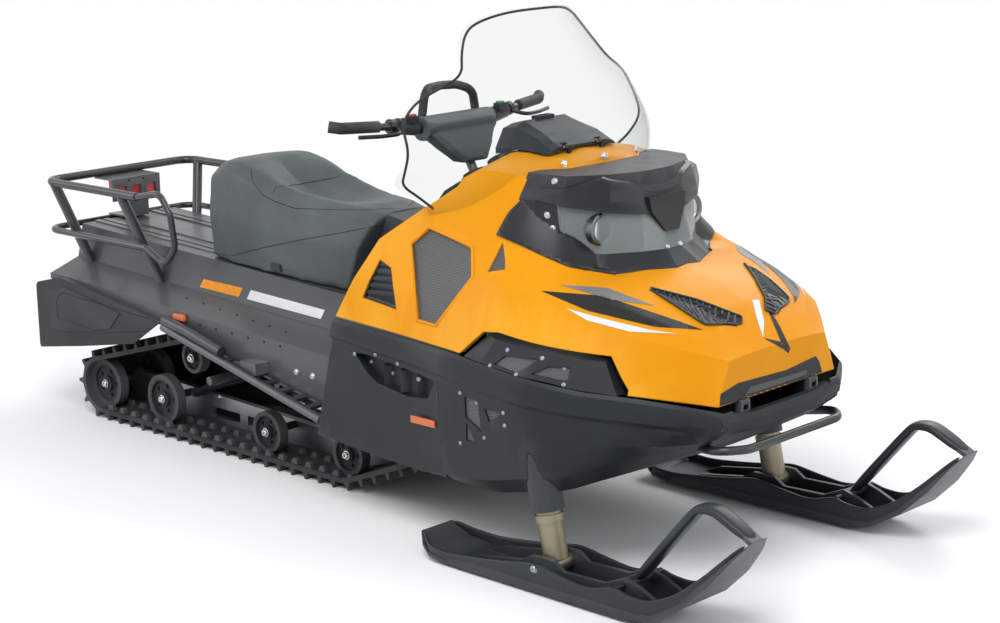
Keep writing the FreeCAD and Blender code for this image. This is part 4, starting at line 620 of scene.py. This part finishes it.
# Soft parts
def soft_mesh(node, voxel, shrink, pressure, cap, low, crown=()):
    """A padded copy of a CAD solid: remeshed, filled by a cloth simulation and subdivided.

    The skin starts shrunk, pressure fills it out, and it ends within the cap of the solid. What lies
    low, near the solid's foot, is held. The crown scales the heights along the vehicle.
    """
    item = bpy.data.objects.new(node + "_soft", nodes[node].data.copy())
    bpy.context.collection.objects.link(item)
    modified(item, "weld", "WELD", merge_threshold=WELD)
    modified(item, "remesh", "REMESH", mode="VOXEL", voxel_size=voxel)
    modified(item, "settle", "SMOOTH", factor=0.5, iterations=3)
    apply_modifiers(item)
    for vertex in item.data.vertices:
        if crown and vertex.co.z > CROWN_FOOT:
            vertex.co.z = CROWN_FOOT + (vertex.co.z - CROWN_FOOT) * level(crown, vertex.co.x)
    goal = [vertex.co.copy() for vertex in item.data.vertices]
    floor_z = min(point.z for point in goal)
    held = [index for index, point in enumerate(goal) if point.z < floor_z + low]
    firm = set(held)
    normals = [vertex.normal.copy() for vertex in item.data.vertices]
    for vertex in item.data.vertices:
        if vertex.index not in firm:
            vertex.co -= normals[vertex.index] * shrink
    item.vertex_groups.new(name="held").add(held, 1.0, "ADD")
    cloth = modified(item, "fill", "CLOTH")
    cloth.settings.quality = 5
    cloth.settings.use_pressure = True
    cloth.settings.uniform_pressure_force = pressure
    cloth.settings.effector_weights.gravity = 0
    cloth.settings.vertex_group_mass = "held"
    cloth.collision_settings.use_collision = False
    scene = bpy.context.scene
    for step in range(1, CLOTH_FRAMES + 1):
        scene.frame_set(step)
    apply_modifiers(item)
    scene.frame_set(1)
    for vertex, start in zip(item.data.vertices, goal):
        moved = vertex.co - start
        if vertex.index in firm:
            vertex.co = start
        elif moved.length > cap:
            vertex.co = start + moved * (cap / moved.length)
    item.vertex_groups.clear()
    modified(item, "soften", "SMOOTH", factor=0.5, iterations=4)
    modified(item, "finer", "SUBSURF", levels=1, render_levels=1)
    apply_modifiers(item)
    mesh = item.data
    bpy.data.objects.remove(item)
    mesh.materials.clear()
    return mesh


def apply_modifiers(item):
    graph = bpy.context.evaluated_depsgraph_get()
    graph.update()
    mesh = bpy.data.meshes.new_from_object(item.evaluated_get(graph))
    item.modifiers.clear()
    item.data = mesh


CLOTH_FRAMES = 20
# The seat's height over its foot, as shares along the vehicle: the saddle dips
CROWN_FOOT = 0.70
SEAT_CROWN = ((-0.9, 1.0), (-0.853, 0.985), (-0.79, 0.945), (-0.72, 0.925), (-0.64, 0.85), (-0.56, 0.745),
              (-0.47, 0.70), (-0.38, 0.71), (-0.29, 0.78), (-0.19, 0.935), (-0.1, 0.98), (0.0, 1.0))


def make_seat():
    """Padded seat cushion; gives its surface back for the sewn lines."""
    mesh = soft_mesh("seat", 0.0085, 0.004, 3, 0.0022, 0.012, SEAT_CROWN)
    cushion = piece("seat_cushion", mesh, "vinyl", "root")
    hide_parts("seat")
    return tree_of(mesh)


def make_pad():
    """Padded cover over the middle of the handlebar."""
    mesh = soft_mesh("handlebar_pad", 0.0045, 0.003, 4, 0.003, 0.002)
    cover = piece("handlebar_cover", mesh, "vinyl", "steering")
    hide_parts("handlebar_pad")


# The shield's edge from its top to its foot: out and up, in millimetres
SCREEN_EDGE = (
    (118, 1465), (200, 1442), (238, 1415), (276, 1360), (305, 1305), (375, 1274), (432, 1246), (470, 1208),
    (488, 1173), (490, 1110), (474, 1046), (450, 1005), (412, 970), (380, 936), (360, 907),
)


def make_screen_trim():
    """Rubber edge round the shield."""
    tree = surface_of("windshield")
    half = []
    for y, z in SCREEN_EDGE:
        inward = Vector((-y, 1180 - z)).normalized() * 3
        place, normal = touch(tree, (1.2, -(y + inward[0]) / 1000, (z + inward[1]) / 1000), (-1, 0, 0))
        if place is not None:
            half.append(place - normal * 0.002)
    top, normal = touch(tree, (1.2, 0, 1.4665), (-1, 0, 0))
    points = half[::-1] + [top - normal * 0.002] + [mirror(point) for point in half]
    bar("shield_edge", points, 0.0036, "grip", "hood")


# Hood details
def along_line(corners, count):
    """Points evenly spaced along straight runs."""
    lengths = [math.dist(a, b) for a, b in zip(corners, corners[1:])]
    found = []
    for index in range(count):
        reach = sum(lengths) * index / (count - 1)
        run = 0
        while run < len(lengths) - 1 and reach > lengths[run]:
            reach -= lengths[run]
            run += 1
        share = min(1, reach / lengths[run])
        found.append([a + (b - a) * share for a, b in zip(corners[run], corners[run + 1])])
    return found


def loft(work, sections):
    """Joins rings of points into a closed skin."""
    rings = [[work.verts.new(place) for place in row] for row in sections]
    skin(work, rings)
    work.faces.new(rings[0])
    work.faces.new(rings[-1])


def add_rib(work, points, normal, wide, high):
    """One rounded rib along a row of points."""
    section = ((-1, 0), (-0.8, 0.7), (-0.3, 1.0), (0.3, 1.0), (0.8, 0.7), (1, 0))
    side = (points[-1] - points[0]).cross(normal).normalized()
    rows = []
    for index, place in enumerate(points):
        scale = 0.5 if index in (0, len(points) - 1) else 1.0
        rows.append([place + side * (u * wide * scale) + normal * (v * high * scale) for u, v in section])
    loft(work, rows)


def both_sides(name, work, look, body):
    """Links a mesh of the right side and its mirror image."""
    bmesh.ops.recalc_face_normals(work, faces=work.faces[:])
    other = work.copy()
    for vertex in other.verts:
        vertex.co.y = -vertex.co.y
    bmesh.ops.reverse_faces(other, faces=other.faces[:])
    from_bmesh(name + "_left", other, look, body)
    from_bmesh(name + "_right", work, look, body)


def make_nose_vents(hood):
    """Long slotted vents on the nose: a dark base on the surface, painted shade inside the slots, ribs across it and
    a raised rim.
    """
    count, across = 15, 7
    far = along_line(((651, 289), (696, 300.5), (741, 317.5)), count)
    near = along_line(((651.5, 291), (704.5, 325.5), (741, 324.5)), count)
    up = Vector((0.3, -0.25, 1)).normalized()
    grid = []
    for start, end in zip(far, near):
        row = []
        for step in range(across):
            share = step / (across - 1)
            place, normal = seen(*(a + (b - a) * share for a, b in zip(start, end)), hood)
            row.append(None if place is None else place + normal * 0.003)
        grid.append(row)
    # A place that the line of sight missed is filled from its neighbours, in two turns
    for turn in range(2):
        for i, row in enumerate(grid):
            for j, place in enumerate(row):
                beside = [grid[a][b] for a, b in ((i - 1, j), (i + 1, j), (i, j - 1), (i, j + 1))
                          if 0 <= a < count and 0 <= b < across and grid[a][b] is not None]
                if place is None and beside:
                    row[j] = sum(beside, Vector()) / len(beside)
    base = bmesh.new()
    skin = [[base.verts.new(place) for place in row] for row in grid]
    for low, high in zip(skin, skin[1:]):
        for step in range(across - 1):
            base.faces.new((low[step], high[step], high[step + 1], low[step + 1]))
    # The dark base is painted shade inside the vent slots
    both_sides("nose_vent_base", base, "gloss_black", "hood")
    ribs = bmesh.new()
    for row in grid[1:-1]:
        add_rib(ribs, row, up, 0.0028, 0.003)
    # The ribs' paler plastic is a painted highlight
    both_sides("nose_vent_ribs", ribs, "rib_painted_highlight", "hood")
    line = [row[0] for row in grid] + grid[-1][1:-1] + [row[-1] for row in grid][::-1] + grid[0][-2:0:-1]
    rim_pair("nose_vent_rim", [place + up * 0.0015 for place in line], 0.003, "ski_plastic")


def rim_pair(name, points, radius, look, kind="NURBS"):
    """A closed bar on the hood's right side, and the same on its left side."""
    bar(name + "_right", points, radius, look, "hood", cyclic=True, kind=kind)
    bar(name + "_left", [mirror(point) for point in points], radius, look, "hood", cyclic=True, kind=kind)


# Parts of a projector lamp: rows of radius and height, look and slot
LAMP_PARTS = {
    "bezel": (((0.046, -0.02), (0.046, 0.002), (0.041, 0.006), (0.034, 0.003)), "lamp_shell", "lamp_chrome"),
    "cup": (((0.034, 0.003), (0.031, -0.004), (0.0, -0.004)), "chrome", "lamp_chrome"),
    "glass": (((0.032, 0.0), (0.029, 0.008), (0.021, 0.0145), (0.011, 0.018), (0.0, 0.019)), "glass", "clear_lens"),
}
LAMP_OUT, LAMP_HIGH = 0.19, 0.908


def make_lamps():
    """Projector lamps behind the clear lens."""
    tree = surface_of("headlamps")
    for label, side in SIDES.items():
        place, normal = touch(tree, (1.1, side * LAMP_OUT, LAMP_HIGH), (-1, 0, 0))
        turn = Matrix.Translation((place.x, side * LAMP_OUT, LAMP_HIGH)) @ turned_to((1, 0, 0))
        for part, (profile, look, slot) in LAMP_PARTS.items():
            work = bmesh.new()
            revolved(work, turn, profile, 40)
            from_bmesh(f"lamp_{part}_{label}", work, look, "hood")


# Screws: nodes they sit on, radius, height and pixels on the right side
HOOD_SCREWS = {
    "pod_screws": (("headlight_housing", "headlight_visor", "hood"), 0.0075, 0.005, (
        (554.5, 181.2), (547.2, 215.1), (552.8, 228.4))),
    "lens_screws": (("headlight_lens", "headlight_housing"), 0.006, 0.004, ((667.7, 246.6),)),
    "shield_screws": (("windshield", "hood"), 0.0075, 0.005, ((564.2, 163.5), (603.7, 156))),
}
HULL_SCREWS = {
    "bulge_screws": (("side_vent_right", "vent_meshes", "belly_pan"), 0.0048, 0.0035, (
        (507.5, 350.1), (542.2, 358.2), (564.7, 368), (563.6, 384.8), (516.3, 374.7), (490, 365.9))),
    "hull_screws": (("side_vent_right", "vent_meshes", "belly_pan"), 0.0046, 0.0035, (
        (476.7, 402.4), (503.3, 412.9), (504.7, 425.5), (484.4, 437.8), (460.5, 443.1), (460.2, 392.9))),
    "pocket_screws": (("side_panel_right", "belly_pan"), 0.005, 0.0035, (
        (354.8, 354), (375.6, 354.5), (371.4, 361.8), (397.7, 363.8), (392.7, 373), (418.8, 379.2))),
}
# Films on the hood: look, slot, both sides, height over the surface and outline in pixels
HOOD_FILMS = {
    "nose_stripe": ("decal_black", "black_gloss", False, 0.001, (
        (763, 299), (768, 311), (781, 342), (763.5, 338), (784, 349.5), (788.5, 353.5), (790, 348), (778, 323))),
    "nose_flash": ("decal_white", "black_gloss", False, 0.001, (
        (752, 300), (759, 300), (764, 322), (763, 337.5), (757, 320))),
    # The nose opening is a black film on the hood: painted shade inside the opening
    "nose_opening": ("gloss_black", "black_gloss", False, 0.001, (
        (719.6, 406), (720.5, 394), (738, 383), (786, 370), (815.5, 356), (819, 361), (822, 372), (780, 387.6),
        (745, 399))),
    "nose_opening_mesh": ("mesh", "black_mesh", False, 0.002, (
        (744, 395), (750, 386.5), (786, 376), (806, 369.5), (806, 374), (780, 383.5))),
    "flank_stripe_black": ("decal_black", "black_gloss", True, 0.001, (
        (541, 291), (603, 296), (672, 319), (703, 330), (655, 327), (588, 311))),
    "flank_stripe_white": ("decal_white", "black_gloss", True, 0.001, (
        (566, 308.5), (604, 319), (650, 330), (678, 334), (630, 332), (588, 321))),
    "flank_stripe_grey": ("decal_grey", "black_gloss", True, 0.001, (
        (560, 285), (607, 288), (655, 306), (612, 300))),
}
POD_FLANGE = ((497, 235), (520, 245), (545, 257), (568, 267), (590, 271), (616, 275), (612, 262), (594, 250),
              (562, 232), (537, 214), (523, 199), (509, 213))
GRILLE_LIP = ((429.5, 227.3), (472.5, 246.7), (473, 277), (436, 325.5), (417.3, 320.5), (411.5, 243.5))


def drive_screws(table, look, body):
    for name, (on, radius, high, pixels) in table.items():
        bolts_seen(name, pixels, surface_of(*on), look, body, radius, high)


def make_hood_details():
    """Flange of the lamp pod, nose vents, lamps, screws, films and the lip round the side grille."""
    hood = surface_of("hood")
    film_seen("pod_flange", POD_FLANGE, hood, "plastic_smooth", "hood", lift=0.006, step=4.0)
    for label, side in SIDES.items():
        flange = bpy.data.objects[f"pod_flange_{label}"]
        modified(flange, "thickness", "SOLIDIFY", thickness=0.008, offset=side)
    drive_screws(HOOD_SCREWS, "bright", "hood")
    make_nose_vents(hood)
    make_lamps()
    for name, (look, slot, both, lift, outline) in HOOD_FILMS.items():
        film_seen(name, outline, hood, look, "hood", both, lift)
    lip = [place + normal * 0.001 for place, normal in hits(GRILLE_LIP, hood)]
    rim_pair("grille_lip", lip, 0.0045, "shell", "POLY")


def make_tunnel_details():
    """Rows of rivets, two bolts and two plain bars of colour on the tunnel's flank."""
    tunnel = surface_of("tunnel")
    spots = []
    for x0, y0, x1, y1, count in ((187, 298, 286, 332, 7), (200, 325, 280, 346, 6)):
        spots += [(x0 + (x1 - x0) * i / (count - 1), y0 + (y1 - y0) * i / (count - 1)) for i in range(count)]
    bolts_seen("tunnel_rivets", spots, tunnel, "gloss_black", "root", 0.0035, 0.0022, socket=False)
    spots = ((296.7, 372.2), (313, 376.4))
    bolts_seen("tunnel_bolts", spots, tunnel, "bright", "root", 0.0085, 0.006)
    amber = ((204, 279), (243, 288), (239, 297), (200, 287))
    film_seen("tunnel_stripe_amber", amber, tunnel, "decal_orange", "root")
    white = ((251, 290), (325, 310), (321, 319), (247, 299))
    film_seen("tunnel_stripe_white", white, tunnel, "decal_white", "root")


def make_fender_details():
    """Amber reflector at the fender's front and the panel line on its flank."""
    place, normal = seen(179.5, 317.5, surface_of("rear_fender", "tunnel", "reflectors"))
    for label, side in SIDES.items():
        rounded_block(f"fender_reflector_{label}", (place.x, -side * place.y, place.z), (0.032, 0.007, 0.011),
                      "amber", "root", radius=0.004)
    panel = ((56, 300), (61, 292.5), (150, 319), (157, 322), (152, 331), (104, 333), (58, 318), (56, 300))
    seam_seen("fender_panel", panel, surface_of("rear_fender"), radius=0.0016)


# Skis
SKI_PLAN = ((484, 60), (512, 84), (560, 95), (1350, 95), (1490, 88), (1565, 64), (1592, 36))
SKI_UNDER = ((484, 58), (540, 16), (600, 10), (1250, 10), (1340, 30), (1430, 82), (1510, 160), (1592, 265))
SKI_WALL = ((484, 20), (560, 34), (640, 36), (760, 50), (860, 66), (938, 82), (1010, 70), (1130, 56), (1219, 84),
            (1290, 62), (1345, 50), (1430, 38), (1510, 28), (1592, 14))
SKI_HANDLE = ((1206, 71), (1300, 182), (1404, 305), (1422, 321), (1444, 325), (1468, 325.5), (1490, 320),
              (1594, 268))
HANDLE_SECTION = ((-1, -0.5), (-0.7, -1), (0.7, -1), (1, -0.5), (1, 0.5), (0.7, 1), (-0.7, 1), (-1, 0.5))
SKI_STANCE = 960


def level(line, x):
    """Value of a line of corners at a place."""
    for (x0, v0), (x1, v1) in zip(line, line[1:]):
        if x <= x1:
            return v0 + (v1 - v0) * (x - x0) / (x1 - x0)
    return line[-1][1]


def subdivided(name, work, body):
    """A piece of ski plastic with a rounded skin."""
    bmesh.ops.recalc_face_normals(work, faces=work.faces[:])
    item = from_bmesh(name, work, "ski_plastic", body)
    modified(item, "finer", "SUBSURF", levels=2, render_levels=2)


def make_ski_details():
    """Moulded side walls and the thick rounded handle of each ski, with a bolt."""
    back, tip = SKI_PLAN[0][0], SKI_PLAN[-1][0]
    for label, side in SIDES.items():
        middle = side * SKI_STANCE / 2
        rims = bmesh.new()
        for edge in (-1, 1):
            rows = []
            for step in range(31):
                x = back + (tip - back) * step / 30
                behind, ahead = max(x - 12, back), min(x + 12, tip)
                lean = math.atan2(level(SKI_UNDER, ahead) - level(SKI_UNDER, behind), ahead - behind)
                half, wall, under = level(SKI_PLAN, x), level(SKI_WALL, x), level(SKI_UNDER, x)
                section = ((half - 9, 5), (half - 7, wall - 4), (half - 4, wall), (half + 3, wall - 1),
                           (half + 4, wall - 6), (half, wall - 10), (half - 1, 2))
                rows.append([Vector((x - math.sin(lean) * up, middle + edge * out, under + math.cos(lean) * up))
                             / 1000 for out, up in section])
            loft(rims, rows)
        subdivided(f"ski_rims_{label}", rims, f"ski_{label}")
        handle = bmesh.new()
        rows = []
        for index, (x, z) in enumerate(SKI_HANDLE):
            ahead = SKI_HANDLE[min(index + 1, len(SKI_HANDLE) - 1)]
            behind = SKI_HANDLE[max(index - 1, 0)]
            along = Vector((ahead[0] - behind[0], 0, ahead[1] - behind[1])).normalized()
            out = Vector((-along.z, 0, along.x))
            rows.append([(Vector((x, middle + u * 28, z)) + out * (v * 13)) / 1000 for u, v in HANDLE_SECTION])
        loft(handle, rows)
        subdivided(f"ski_grip_{label}", handle, f"ski_{label}")
    rims = tree_of(bpy.data.objects["ski_rims_right"].data)
    bolts_seen("ski_bolts", [(534.2, 568.6)], rims, "alloy", "ski_right", 0.0095, 0.007)


def make_dial():
    """Round gauge with plain numbers, a pointer and a clear cover."""
    middle = Vector((0.303, 0, 1.025))
    normal = Vector((-27, 0, 45)).normalized()
    turn = Matrix.Translation(middle + normal * 0.0008) @ turned_to(normal)
    across = Vector((0, -1, 0))
    up = normal.cross(across).normalized()

    def outward(step):
        """Direction from the middle to one of the scale's 49 marks."""
        angle = math.radians(225 - step * 270 / 48)
        return across * math.cos(angle) + up * math.sin(angle)

    face = bmesh.new()
    bmesh.ops.create_circle(face, cap_ends=True, segments=48, radius=0.040, matrix=turn)
    from_bmesh("dial_face", face, "gloss_black", "root")
    marks = bmesh.new()
    for step in range(49):
        out = outward(step)
        inner, half = (0.0315, 0.0006) if step % 6 == 0 else (0.0345, 0.00035)
        side = out.cross(normal) * half
        corners = [out * inner - side, out * 0.0375 - side, out * 0.0375 + side, out * inner + side]
        marks.faces.new([marks.verts.new(middle + normal * 0.0013 + corner) for corner in corners])
    from_bmesh("dial_marks", marks, "decal_white", "root", smooth=False)
    for step in range(0, 49, 6):
        text = bpy.data.curves.new(f"dial_number_{step}", "FONT")
        text.body = str(step * 10 // 3)
        text.size = 0.0075
        text.extrude = 0.0002
        text.align_x, text.align_y = "CENTER", "CENTER"
        text.materials.append(MATERIALS["decal_white"])
        basis = Matrix((across, up, normal)).transposed().to_4x4()
        spot = Matrix.Translation(middle + normal * 0.0014 + outward(step) * 0.0255)
        placed(f"dial_number_{step}", text, "root", spot @ basis)
    hub, tip = middle + normal * 0.003, outward(0)
    bar("dial_pointer", [hub - tip * 0.006, hub + tip * 0.029], 0.0009, "decal_orange", "root",
        kind="POLY")
    rim = bmesh.new()
    revolved(rim, turn, ((0.047, -0.012), (0.047, 0.003), (0.0455, 0.0055), (0.0425, 0.0055), (0.041, 0.0012)), 48)
    from_bmesh("dial_rim", rim, "plastic_smooth", "root")
    cover = bmesh.new()
    bmesh.ops.create_uvsphere(cover, u_segments=40, v_segments=8, radius=0.0415,
                              matrix=turn @ Matrix.Translation((0, 0, 0.0035)) @ Matrix.Diagonal((1, 1, 0.07, 1)))
    from_bmesh("dial_glass", cover, "screen", "root")


def rounded_block(name, place, half, look, body, normal=(0, 0, 1), radius=0.002):
    """A small block with rounded edges, set square on a direction."""
    work = bmesh.new()
    bmesh.ops.create_cube(work, size=2, matrix=Matrix.Translation(place) @ turned_to(normal)
                          @ Matrix.Diagonal((*half, 1)))
    bmesh.ops.bevel(work, geom=work.edges[:], offset=radius, segments=3, affect="EDGES")
    return from_bmesh(name, work, look, body)


def make_bar_details():
    """A button and a rocker on each switch pod, red on the right and green on the left."""
    for label, side in SIDES.items():
        look, slot = ("red_button", "red_lens") if side < 0 else ("green", "amber_lens")
        rounded_block(f"switch_button_{label}", BAR_MIDDLE + Vector((0.009, side * 0.184, 0.0505)),
                      (0.009, 0.012, 0.0035), look, "steering", radius=0.0018)
        rounded_block(f"switch_rocker_{label}", BAR_MIDDLE + Vector((-0.002, side * 0.206, 0.040)),
                      (0.006, 0.007, 0.004), "gloss_black", "steering", radius=0.0015)


# Bolts of the skid: nodes they sit on, radius, height and places along the side
SKID_BOLTS = {
    "wheel_bolts": (
        ("rear_wheels", "bogie_wheels", "carrier_wheels", "suspension_arms", "slide_rails"), 0.0115, 0.009,
        ((-1.345, 0.1205), (-1.029, 0.1205), (-0.496, 0.1055), (-0.115, 0.1055), (-0.86, 0.2885))),
    "rail_bolts": (("slide_rails",), 0.008, 0.006, [(x, 0.128) for x in (-0.98, -0.88, -0.62, -0.56, -0.38, -0.30)]),
}


def make_wheel_details():
    """Bolts of the wheels and slide rails, which face outwards."""
    for name, (on, radius, high, places) in SKID_BOLTS.items():
        tree = surface_of(*on)
        found = [touch(tree, (x, -0.6, z), (0, 1, 0))[0] for x, z in places]
        spots = [(place, Vector((0, -1, 0))) for place in found if place is not None]
        bolt_pair(name, spots, "bright", "root", radius, high)


def make_track_details():
    """Drive cogs inside the belt's lower run."""
    work = bmesh.new()
    for side in (-1, 1):
        for row in (0.286, 0.205):
            for step in range(20):
                x = -1.30 + step * 0.064
                bottom, top = [], []
                for u, v in ((-1, -1), (1, -1), (1, 1), (-1, 1)):
                    bottom.append(work.verts.new((x + u * 0.015, side * row + v * 0.009, 0.037)))
                    top.append(work.verts.new((x + u * 0.009, side * row + v * 0.006, 0.054)))
                work.faces.new(top)
                skin(work, (bottom, top))
    bmesh.ops.recalc_face_normals(work, faces=work.faces[:])
    from_bmesh("track_cogs", work, "rubber", "root")


SEAT_SEAMS = {
    "seat_seam_low": ((220, 253.5), (232, 256), (262, 248), (300, 240), (345, 232), (381, 225)),
    "seat_seam_high": ((250.4, 163), (252.5, 182), (262, 194), (273.6, 201), (294.6, 208.4), (330, 209.5),
                       (365, 210), (395, 208)),
    "seat_seam_bowl": ((273.3, 197.5), (274.8, 187.5), (302.7, 183.5), (318, 181)),
}


def make_seat_details(tree):
    """Sewn lines of the cushion, and the catch low on its side."""
    for name, pixels in SEAT_SEAMS.items():
        seam_seen(name, pixels, tree)
    place, normal = seen(277, 267, tree)
    for label, side in SIDES.items():
        at, out = (place, normal) if side < 0 else (mirror(place), mirror(normal))
        rounded_block(f"seat_catch_{label}", at, (0.022, 0.012, 0.008), "gloss_black", "root", out)


def build():
    make_camera()
    make_stage()
    dress_nodes()
    seat = make_seat()
    make_pad()
    make_screen_trim()
    make_hood_details()
    drive_screws(HULL_SCREWS, "alloy", "root")
    make_tunnel_details()
    make_fender_details()
    make_ski_details()
    make_dial()
    make_bar_details()
    make_wheel_details()
    make_track_details()
    make_seat_details(seat)


build()
bpy.context.scene.view_settings.view_transform = "Standard"
